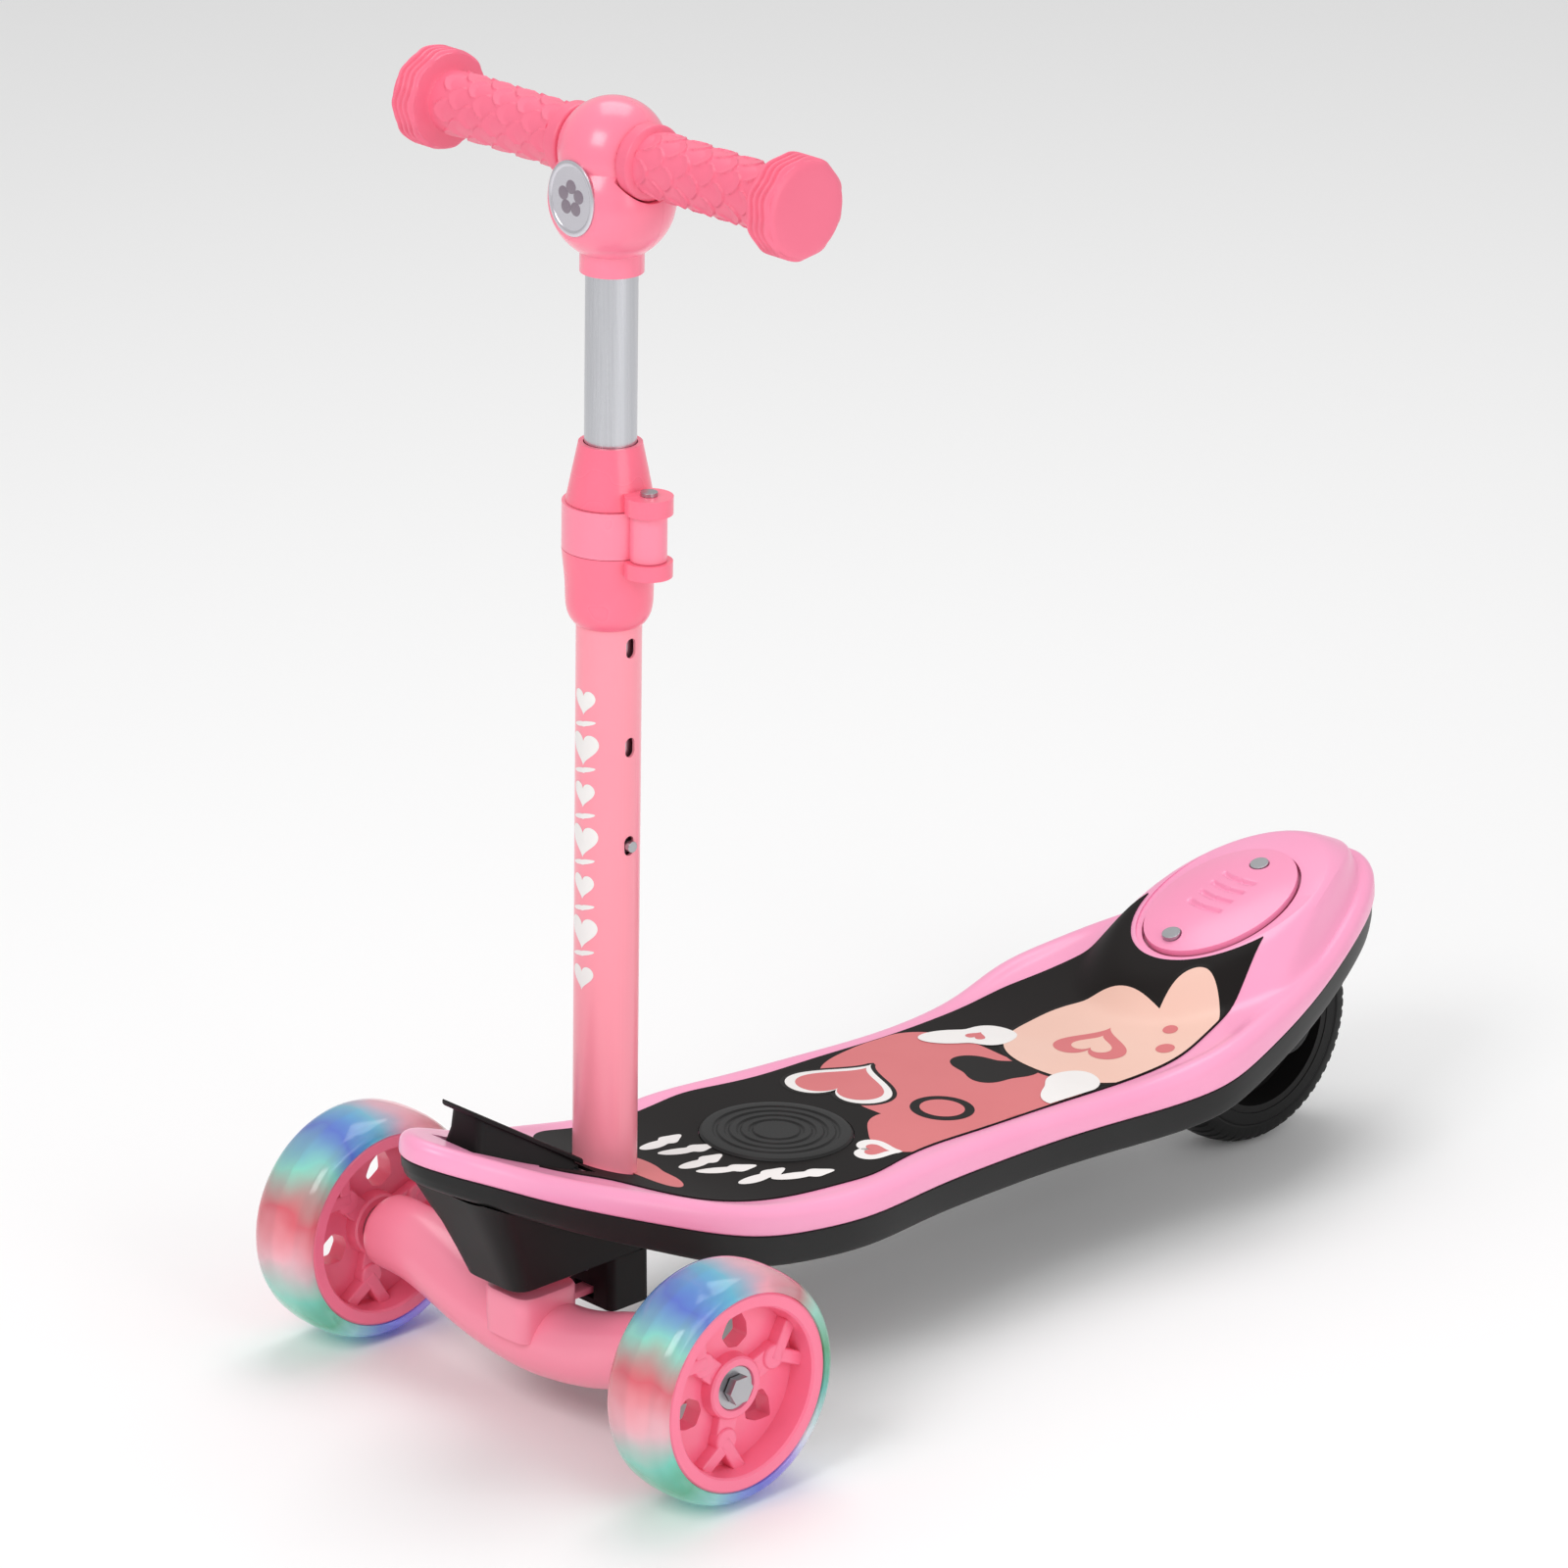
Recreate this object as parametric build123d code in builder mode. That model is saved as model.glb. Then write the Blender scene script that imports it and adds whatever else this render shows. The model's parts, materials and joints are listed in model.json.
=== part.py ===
from build123d import *
import os
from math import atan, cos, radians, sin

os.makedirs("parts", exist_ok=True)

# A toddler's lean-to-steer kick scooter: two wheels in front, one behind. Millimetres, +Z up.
# The rider faces -Y, so +X is the rider's left. The origin is on the floor, below the middle.

# ---------------------------------------------------------------- driving sizes
wheelbase = 499.0
track = 262.6
nose_overhang = 80.0  # deck nose in front of the front axle line
tail_overhang = 85.0  # deck tail behind the rear axle line

front_wheel_r = 60.0
front_tyre_w = 40.0
rear_wheel_r = 65.0
rear_tyre_w = 36.0
tyre_seat_r = 47.0
hub_w = 35.0
bearing_r = 11.0
bearing_w = 7.0
axle_r = 4.0

running = 0.05  # radial clearance of turning and sliding fits
seat_gap = 0.05  # clearance of pieces that only sit in each other
body_gap = 0.4  # least gap between bodies that pass each other

deck_wall = 3.0
rim_wall = 4.5
rim_height = 14.0
mat_gap = 0.4
mat_t = 1.4
mat_sunk = 0.5
band_nose = 11.0  # height of the dark side band at the nose and along the waist
band_waist = 18.0

column_rake = 1.2
column_y = 44.3  # behind the front axle, where the axis meets the deck
column_z = 118.0
outer_tube_r = 16.0
outer_tube_wall = 1.5
inner_tube_r = 12.7
inner_tube_wall = 1.3
socket_wall = 2.8
socket_depth = 38.0

clamp_low = 283.0  # heights along the column are measured from the deck
band_low = 321.0
band_high = 344.0
knuckle_d = 27.6
knuckle_r = 9.0
clamp_pin_r = 2.5

slot_w = 6.0
slot_h = 10.0
slot_pitch = 50.5
slot_count = 3
button_level = 172.0  # the lowest slot, where the button rests
button_out = 2.6

bar_level = 516.6
bar_length = 268.0
bar_r = 11.0
grip_r = 15.8
grip_flange_r = 18.5
grip_end_r = 25.0
grip_end_w = 18.0
head_r = 26.3
ball_r = 30.7
ball_drop = 22.3
neck_r = 15.5
neck_h = 10.0
split_back = 5.0  # head shells part this far behind the column's axis

beam_r = 19.0
beam_dip = 18.5
kingpin_r = 5.0
kingpin_slope = 0.5
kingpin_y = 40.0
kingpin_z = 66.0
pivot_boss_r = 11.0
bush_wall = 2.0
housing_half = 22.0
housing_bottom = 77.0

plug_r = 39.0
plug_y = 160.0  # behind the front axle
plug_z = 100.7
plug_t = 4.0
plug_sunk = 2.2
plug_tilt = 2.0  # the deck falls this much there
plug_hole_r = 30.0

lever_half = 14.0
lever_t = 2.5
lever_gap = 1.2
lever_pin_r = 1.5
lever_pin_y = 16.0  # behind the front axle
lever_pin_z = 126.8
latch_r = 2.0
latch_z = 108.0

pedal_a = 35.0
pedal_b = 48.0
pedal_gap = 1.2
pedal_crown = 4.5
tub_wall = 2.5
tub_depth = 11.0
shoe_clear = 5.0  # shoe to rear tyre when the pedal is up
pedal_screws = (-37.8, 31.5)  # along the tail's slope
pedal_screw_r = 2.0

fork_inner = 23.0
fork_outer = 29.0
fork_boss_r = 6.5
deck_screw_r = 2.0

# ---------------------------------------------------------------- places worked out from them
front_y = (nose_overhang - wheelbase - tail_overhang) / 2
rear_y = front_y + wheelbase
nose_y = front_y - nose_overhang
tail_y = rear_y + tail_overhang
rake = radians(column_rake)
column = Plane(
    origin=(0, front_y + column_y, column_z), x_dir=(1, 0, 0), z_dir=(0, sin(rake), cos(rake))
)
column_axis = Axis(column.origin, column.z_dir)

# The deck's half-width, and the height of the seam between its shells, station by station.
# The front stations hang on the front axle and the rear ones on the rear axle. Those between the
# axles keep their share of the wheelbase.
plan = [(34, -54), (54, -4), (76, 72), (85, 142), (79, 195), (75, 250)]
plan_rear = [(76, -190), (81, -137), (86, -98), (77.5, -50), (62, 4), (44, 48)]
seam = [(-80, 156), (-50, 143), (0, 121), (55, 100.5), (105, 89), (150, 87), (250, 83.5)]
seam_rear = [(-170, 81), (-125, 81), (-95, 85.5), (-40, 98), (1, 108.5), (41, 119), (85, 127)]

# The tail rises as a flat-topped hump over the wheel, on this plane.
tail_slope = 17.9
tail_plane = Plane(
    origin=(0, rear_y - 19, 139.0),
    x_dir=(1, 0, 0),
    z_dir=(0, -sin(radians(tail_slope)), cos(radians(tail_slope))),
)


def behind_front(y):
    """A distance behind the front axle, which keeps its share of the wheelbase, in the part's own Y."""
    return front_y + (y * wheelbase / 499.0 if y > 0 else y)


def behind_rear(y):
    """A distance behind the rear axle, which keeps its share ahead of it, in the part's own Y."""
    return rear_y + (y * wheelbase / 499.0 if y < 0 else y)


def stations(front, rear):
    """Station list in the part's own Y."""
    return [(behind_front(y), z) for y, z in front] + [(behind_rear(y), z) for y, z in rear]


def half_plan(inset):
    """Points of the deck's left edge from nose to tail, moved in by the inset."""
    sides = [(w - inset, behind_front(y)) for w, y in plan]
    sides += [(w - inset, behind_rear(y)) for w, y in plan_rear]
    return [(0, nose_y + inset)] + sides + [(0, tail_y - inset)]


def deck_outline(inset):
    """Plan outline of the deck, moved in by the inset."""
    with BuildSketch() as outline:
        with BuildLine():
            Spline(*half_plan(inset), tangents=[(1, 0), (-1, 0)], tangent_scalars=[0.3, 0.3])
            mirror(about=Plane.YZ)
        make_face()
    return outline.sketch


def side_band(low, high):
    """Side outline between two curves that run the given heights above the seam."""
    under = [(y, z + low(y)) for y, z in stations(seam, seam_rear)]
    over = [(y, z + high(y)) for y, z in stations(seam, seam_rear)]
    reach = 10.0
    with BuildSketch() as band:
        with BuildLine():
            lower = Spline(*under)
            upper = Spline(*over)
            front_low = lower @ 0 + Vector(-reach, 0.45 * reach)
            front_high = upper @ 0 + Vector(-reach, 0.45 * reach)
            rear_low = lower @ 1 + Vector(reach, 0)
            rear_high = upper @ 1 + Vector(reach, 0)
            Polyline(lower @ 0, front_low, front_high, upper @ 0)
            Polyline(lower @ 1, rear_low, rear_high, upper @ 1)
        make_face()
    return band.sketch


def band_height(y):
    """The dark band is shallow at the nose and reaches its full height at the waist."""
    share = min(max((y - nose_y) / 160.0, 0.0), 1.0)
    return band_nose + (band_waist - band_nose) * share


across = Plane.YZ.offset(-120)
span = 240.0
tall = 240.0
kingpin_tilt = atan(kingpin_slope)
kingpin_plane = Plane(
    origin=(0, front_y + kingpin_y, kingpin_z),
    x_dir=(1, 0, 0),
    z_dir=(0, -cos(kingpin_tilt), sin(kingpin_tilt)),
)
plug_plane = Plane(
    origin=(0, front_y + plug_y, plug_z),
    x_dir=(1, 0, 0),
    z_dir=(0, sin(radians(plug_tilt)), cos(radians(plug_tilt))),
)
# Local X runs across, and local Y up the column.
column_face = Plane(origin=column.origin, x_dir=(1, 0, 0), z_dir=-column.y_dir)
# Local X runs to the rear, and local Y up the column.
column_side = Plane(origin=column.origin, x_dir=column.y_dir, z_dir=(1, 0, 0))
bar_origin = column.from_local_coords((0, 0, bar_level))
ball_origin = column.from_local_coords((0, 0, bar_level - ball_drop))
latch_plane = Plane(origin=(0, front_y, latch_z), x_dir=(1, 0, 0), z_dir=(0, 1, 0))
# x, y behind the front axle, top of the counterbore, bottom and top of the boss
deck_screws = [
    (66, 135, 70.5, 73.5, 99),
    (-66, 135, 70.5, 73.5, 99),
    (62, 360, 64, 67, 92),
    (-62, 360, 64, 67, 92),
]


def along_x(y, z, start):
    """Plane across the scooter at the given X, centred on (y, z)."""
    return Plane(origin=(start, y, z), x_dir=(0, 1, 0), z_dir=(1, 0, 0))


# ---------------------------------------------------------------- deck top shell
# Pink shell: a rim round the mat, and a hump over the rear wheel that carries the brake pedal.
with BuildPart() as tail_hump:
    with BuildSketch(tail_plane):
        Ellipse(46, 72)
    with BuildSketch(tail_plane.offset(-24)):
        Ellipse(66, 100)
    loft(ruled=True)

with BuildPart() as tail_hollow:
    with BuildSketch(tail_plane.offset(-rim_wall)):
        Ellipse(46 - rim_wall, 72 - rim_wall)
    with BuildSketch(tail_plane.offset(-34)):
        Ellipse(66 - rim_wall, 100 - rim_wall)
    loft(ruled=True)
    with BuildSketch():
        add(deck_outline(rim_wall))
    extrude(amount=tall, mode=Mode.INTERSECT)

with BuildPart() as top_hollow:
    with BuildSketch(across):
        add(side_band(lambda y: -5.0, lambda y: rim_height - rim_wall))
    extrude(amount=span)
    with BuildSketch():
        add(deck_outline(rim_wall))
    extrude(amount=tall, mode=Mode.INTERSECT)


def mat_outline(grow):
    """Left edge of the mat from the lever to the tail hump, mirrored, with the column's cut-out."""
    left = [(29 + grow, 18), (44.6 + grow, 37), (53 + grow, 48), (60 + grow, 70), (64 + grow, 105)]
    left += [(68 + grow, 141), (69 + grow, 165), (63.5 + grow, 195), (61.5 + grow, 245)]
    left += [(61.5 + grow, 320), (57 + grow, 368), (36, 386 + grow), (0, 388 + grow)]
    with BuildSketch() as outline:
        with BuildLine():
            Spline(*[(x, y + front_y) for x, y in left])
            Line((0, front_y + 388 + grow), (0, front_y + 18))
            Line((0, front_y + 18), (29 + grow, front_y + 18))
        make_face()
        mirror(about=Plane.YZ)
        with Locations((0, front_y + 8)):
            Rectangle(40 - 2 * grow, 34 - 2 * grow, mode=Mode.SUBTRACT)
        with Locations((0, front_y + column_y)):
            Circle(outer_tube_r + 3 - grow, mode=Mode.SUBTRACT)
            Rectangle(22 - 2 * grow, 50, align=(Align.CENTER, Align.MAX), mode=Mode.SUBTRACT)
    return outline.sketch


with BuildPart() as mat_pocket:
    with BuildSketch(across):
        add(side_band(lambda y: rim_height - mat_sunk, lambda y: rim_height + 8))
    extrude(amount=span)
    with BuildSketch():
        add(mat_outline(mat_gap))
    extrude(amount=tall, mode=Mode.INTERSECT)

with BuildPart() as deck_top_shell:
    with BuildSketch(across):
        add(side_band(lambda y: 0.0, lambda y: rim_height))
    extrude(amount=span)
    add(tail_hump.part)
    with BuildSketch():
        add(deck_outline(0))
    extrude(amount=tall, mode=Mode.INTERSECT)
    add(top_hollow.part, mode=Mode.SUBTRACT)
    add(tail_hollow.part, mode=Mode.SUBTRACT)
    add(mat_pocket.part, mode=Mode.SUBTRACT)
    # tub that guides the pedal, open in the middle for the shoe
    with BuildSketch(tail_plane):
        Ellipse(pedal_a + pedal_gap + tub_wall, pedal_b + pedal_gap + tub_wall)
    extrude(amount=-tub_depth)
    with BuildSketch(tail_plane):
        Ellipse(pedal_a + pedal_gap, pedal_b + pedal_gap)
    extrude(amount=-(tub_depth - deck_wall), mode=Mode.SUBTRACT)
    with BuildSketch(tail_plane):
        Rectangle(42, 52)
    extrude(amount=-2 * tub_depth, mode=Mode.SUBTRACT)
    with BuildSketch(tail_plane):
        with Locations(*[(0, v) for v in pedal_screws]):
            Circle(pedal_screw_r + running)
    extrude(amount=-2 * tub_depth, mode=Mode.SUBTRACT)
    # opening for the release lever, and the bore for its pivot pin
    with BuildSketch():
        with Locations((0, front_y - 15)):
            Rectangle(2 * (lever_half + lever_gap), 79)
    extrude(amount=tall, mode=Mode.SUBTRACT)
    with BuildSketch(along_x(front_y + lever_pin_y, lever_pin_z, -lever_half - 6)):
        Circle(lever_pin_r + seat_gap)
    extrude(amount=2 * lever_half + 12, mode=Mode.SUBTRACT)
    # hole for the column
    with BuildSketch(column.offset(-30)):
        Circle(outer_tube_r + body_gap)
    extrude(amount=60, mode=Mode.SUBTRACT)
    # seat and hole for the plug
    with BuildSketch(plug_plane.offset(-plug_sunk)):
        Circle(plug_r + body_gap)
    extrude(amount=10, mode=Mode.SUBTRACT)
    with BuildSketch(plug_plane.offset(-12)):
        Circle(plug_hole_r)
    extrude(amount=24, mode=Mode.SUBTRACT)
    # bosses for the deck screws
    for x, y, seat, low, high in deck_screws:
        with BuildSketch(Plane.XY.offset(low)):
            with Locations((x, front_y + y)):
                Circle(4.5)
        extrude(amount=high - low)
        with BuildSketch(Plane.XY.offset(low)):
            with Locations((x, front_y + y)):
                Circle(deck_screw_r + seat_gap)
        extrude(amount=14, mode=Mode.SUBTRACT)
deck_top_shell.part.label = "deck_top_shell"
export_step(deck_top_shell.part, "parts/deck_top_shell.step")

# ---------------------------------------------------------------- deck mat
# Printed foot mat in the top shell's pocket.
with BuildPart() as deck_mat:
    with BuildSketch(across):
        add(side_band(lambda y: rim_height - mat_sunk + seat_gap, lambda y: rim_height - mat_sunk + mat_t))
    extrude(amount=span)
    with BuildSketch():
        add(mat_outline(0))
    extrude(amount=tall, mode=Mode.INTERSECT)
    with BuildSketch(plug_plane.offset(-12)):
        Circle(plug_r + 2 * body_gap)
    extrude(amount=24, mode=Mode.SUBTRACT)
deck_mat.part.label = "deck_mat"
export_step(deck_mat.part, "parts/deck_mat.step")

# ---------------------------------------------------------------- deck bottom shell
# Dark tray under the top shell, with the rear fork below it.
with BuildPart() as bottom_hollow:
    with BuildSketch(across):
        add(side_band(lambda y: deck_wall - band_height(y), lambda y: 6.0))
    extrude(amount=span)
    with BuildSketch():
        add(deck_outline(deck_wall))
    extrude(amount=tall, mode=Mode.INTERSECT)

with BuildPart() as deck_bottom_shell:
    with BuildSketch(across):
        add(side_band(lambda y: -band_height(y), lambda y: -seat_gap))
    extrude(amount=span)
    with BuildSketch():
        add(deck_outline(0))
    extrude(amount=tall, mode=Mode.INTERSECT)
    add(bottom_hollow.part, mode=Mode.SUBTRACT)
    # rear wheel opening
    with BuildSketch():
        with Locations((0, rear_y - 3)):
            Rectangle(2 * fork_outer - 2, 130)
    extrude(amount=tall, mode=Mode.SUBTRACT)
    # fork cheeks and their inner bosses
    for start in (-fork_outer, fork_inner):
        with BuildSketch(Plane.YZ.offset(start)):
            with Locations((rear_y, rear_wheel_r)):
                Circle(13)
            with BuildLine():
                Polyline(
                    (rear_y - 48, 93),
                    (rear_y + 44, 116),
                    (rear_y + 40, 98),
                    (rear_y + 11, 58),
                    (rear_y - 11, 58),
                    (rear_y - 42, 78),
                    close=True,
                )
            make_face()
        extrude(amount=fork_outer - fork_inner)
    for start in (-fork_inner, rear_tyre_w / 2 - 0.4):
        with BuildSketch(along_x(rear_y, rear_wheel_r, start)):
            Circle(fork_boss_r)
        extrude(amount=fork_inner - rear_tyre_w / 2 + 0.4)
    with BuildSketch(along_x(rear_y, rear_wheel_r, -fork_outer)):
        Circle(axle_r + running)
    extrude(amount=2 * fork_outer, mode=Mode.SUBTRACT)
    # guide of the latch pin
    with BuildSketch(Plane.XY.offset(104)):
        with Locations((0, front_y + 15)):
            Rectangle(10, 8)
    extrude(amount=8)
    with BuildSketch(Plane.XY.offset(99)):
        with Locations((0, front_y + 15)):
            Rectangle(10, 8)
    extrude(amount=5)
    with BuildSketch(latch_plane):
        Circle(latch_r + running)
    extrude(amount=30, mode=Mode.SUBTRACT)
    # hole for the stem socket
    with BuildSketch(column.offset(-60)):
        Circle(outer_tube_r + socket_wall + 0.35)
    extrude(amount=80, mode=Mode.SUBTRACT)
    # screw holes
    for x, y, seat, low, high in deck_screws:
        with BuildSketch(Plane.XY.offset(seat)):
            with Locations((x, front_y + y)):
                Circle(4.4)
        extrude(amount=-8, mode=Mode.SUBTRACT)
        with BuildSketch(Plane.XY.offset(seat)):
            with Locations((x, front_y + y)):
                Circle(deck_screw_r + seat_gap)
        extrude(amount=8, mode=Mode.SUBTRACT)
deck_bottom_shell.part.label = "deck_bottom_shell"
export_step(deck_bottom_shell.part, "parts/deck_bottom_shell.step")

# ---------------------------------------------------------------- deck screws
# Four pan-head screws from below hold the two shells together.
for number, (x, y, seat, low, high) in enumerate(deck_screws, start=1):
    with BuildPart() as deck_screw:
        with BuildSketch(Plane.XY.offset(seat - seat_gap)):
            with Locations((x, front_y + y)):
                Circle(3.8)
        extrude(amount=-2)
        with BuildSketch(Plane.XY.offset(seat - 2)):
            with Locations((x, front_y + y)):
                Circle(deck_screw_r)
        extrude(amount=14)
    deck_screw.part.label = f"deck_screw_{number}"
    export_step(deck_screw.part, f"parts/deck_screw_{number}.step")

# ---------------------------------------------------------------- nose housing
# Block under the deck's nose: the column stands in it and the front truck hangs in its cavity.
with BuildPart() as under_deck:
    with BuildSketch(across):
        add(side_band(lambda y: -band_height(y) - seat_gap, lambda y: 60.0))
    extrude(amount=span)

with BuildPart() as nose_housing:
    for level, half, front in ((housing_bottom, housing_half, -31), (135, housing_half + 10, -58)):
        with BuildSketch(Plane.XY.offset(level)):
            with Locations((0, front_y + (56 + front) / 2)):
                RectangleRounded(2 * half, 56 - front, 14)
    loft(ruled=True)
    with BuildSketch(Plane.XY.offset(housing_bottom)):
        with Locations((0, front_y + column_y)):
            Circle(22.8)
    extrude(amount=40)
    add(under_deck.part, mode=Mode.SUBTRACT)
    with BuildSketch(Plane.XY.offset(housing_bottom)):
        with Locations((0, front_y + 3)):
            Rectangle(31, 49)
    extrude(amount=27, mode=Mode.SUBTRACT)
    with BuildSketch(kingpin_plane):
        Circle(kingpin_r + seat_gap)
    extrude(amount=82, mode=Mode.SUBTRACT)
    with BuildSketch(column.offset(-socket_depth - seat_gap)):
        Circle(outer_tube_r + socket_wall + 0.35)
    extrude(amount=60, mode=Mode.SUBTRACT)
nose_housing.part.label = "nose_housing"
export_step(nose_housing.part, "parts/nose_housing.step")

# ---------------------------------------------------------------- stem socket
# Steel sleeve that takes the foot of the column.
with BuildPart() as stem_socket:
    with BuildSketch(column.offset(-socket_depth)):
        Circle(outer_tube_r + socket_wall)
        Circle(outer_tube_r + seat_gap, mode=Mode.SUBTRACT)
    extrude(amount=socket_depth - 6)
    # its rim slopes with the deck
    with BuildSketch(Plane.YZ.offset(-30)):
        with BuildLine():
            Polyline(
                (front_y + 20, 121),
                (front_y + 70, 103.4),
                (front_y + 70, 140),
                (front_y + 20, 140),
                close=True,
            )
        make_face()
    extrude(amount=60, mode=Mode.SUBTRACT)
    with BuildSketch(latch_plane):
        Circle(latch_r + 2 * running)
    extrude(amount=column_y, mode=Mode.SUBTRACT)
stem_socket.part.label = "stem_socket"
export_step(stem_socket.part, "parts/stem_socket.step")

# ---------------------------------------------------------------- pivot bracket
# Rear support of the kingpin, with the notch that stops the truck.
bracket_half = 20.0
notch_half = 7.0
with BuildPart() as pivot_bracket:
    with BuildSketch(Plane.XY.offset(housing_bottom - seat_gap)):
        with Locations((0, front_y + 43)):
            RectangleRounded(2 * bracket_half, 26, 4)
    extrude(amount=-28)
    with BuildSketch(Plane.XZ.offset(-front_y - 29)):
        with Locations((0, 55.5)):
            Rectangle(2 * notch_half, 7)
    extrude(amount=-18, mode=Mode.SUBTRACT)
    with BuildSketch(kingpin_plane.offset(-30)):
        Circle(kingpin_r + seat_gap)
    extrude(amount=60, mode=Mode.SUBTRACT)
    with BuildSketch(kingpin_plane.offset(-18)):
        Circle(10)
    extrude(amount=-20, mode=Mode.SUBTRACT)
pivot_bracket.part.label = "pivot_bracket"
export_step(pivot_bracket.part, "parts/pivot_bracket.step")

# ---------------------------------------------------------------- kingpin
with BuildPart() as kingpin:
    with BuildSketch(kingpin_plane.offset(-18 - seat_gap)):
        RegularPolygon(radius=7.5, side_count=6)
    extrude(amount=-6)
    with BuildSketch(kingpin_plane.offset(-19)):
        Circle(kingpin_r)
    extrude(amount=100)
kingpin.part.label = "kingpin"
export_step(kingpin.part, "parts/kingpin.step")

# ---------------------------------------------------------------- front axle beam
# Dipped tube between the front wheels, with the plinth, the pivot boss and the stop tab.
beam_line = [(0, -beam_dip), (25, -17), (45, -13), (64, -7), (85, -1.5), (112, 0)]
beam_plane = Plane(origin=(0, front_y, front_wheel_r), x_dir=(1, 0, 0), z_dir=(0, -1, 0))
beam_end = 112.0
spigot_end = 120.2
with BuildPart() as front_axle_beam:
    with BuildLine(beam_plane) as path:
        Spline(*[(-x, z) for x, z in reversed(beam_line[1:])], *beam_line)
    with BuildSketch(along_x(front_y, front_wheel_r, -beam_end)):
        Circle(beam_r)
    sweep(path=path.wires()[0])
    with BuildSketch(Plane.XY.offset(44)):
        with Locations((0, front_y - 5)):
            RectangleRounded(34, 38, 4)
    extrude(amount=26)
    with BuildSketch(Plane.XY.offset(60)):
        with Locations((0, front_y)):
            Rectangle(18, 24)
    extrude(amount=24)
    with BuildSketch(kingpin_plane.offset(22.4)):
        Circle(pivot_boss_r)
    extrude(amount=38)
    with BuildSketch(Plane.XY.offset(53.5)):
        with Locations((0, front_y + 26)):
            Rectangle(8, 34)
    extrude(amount=4)
    for start in (-spigot_end, beam_end - 4):
        with BuildSketch(along_x(front_y, front_wheel_r, start)):
            Circle(6)
        extrude(amount=spigot_end - beam_end + 4)
    for start in (-spigot_end, spigot_end - 20):
        with BuildSketch(along_x(front_y, front_wheel_r, start)):
            Circle(axle_r + seat_gap)
        extrude(amount=20, mode=Mode.SUBTRACT)
    with BuildSketch(kingpin_plane):
        Circle(kingpin_r + bush_wall + seat_gap)
    extrude(amount=80, mode=Mode.SUBTRACT)
front_axle_beam.part.label = "front_axle_beam"
export_step(front_axle_beam.part, "parts/front_axle_beam.step")

with BuildPart() as kingpin_bush:
    with BuildSketch(kingpin_plane.offset(22.4)):
        Circle(kingpin_r + bush_wall)
        Circle(kingpin_r + running, mode=Mode.SUBTRACT)
    extrude(amount=38)
kingpin_bush.part.label = "kingpin_bush"
export_step(kingpin_bush.part, "parts/kingpin_bush.step")

# Rubber blocks either side of the neck push the truck back to the middle.
for side, sign in (("left", 1), ("right", -1)):
    with BuildPart() as centring_rubber:
        with BuildSketch(Plane.XY.offset(79)):
            with Locations((sign * (pivot_boss_r + 2.25), front_y)):
                Rectangle(3.8, 18)
        extrude(amount=10)
    centring_rubber.part.label = f"centring_rubber_{side}"
    export_step(centring_rubber.part, f"parts/centring_rubber_{side}.step")

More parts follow.
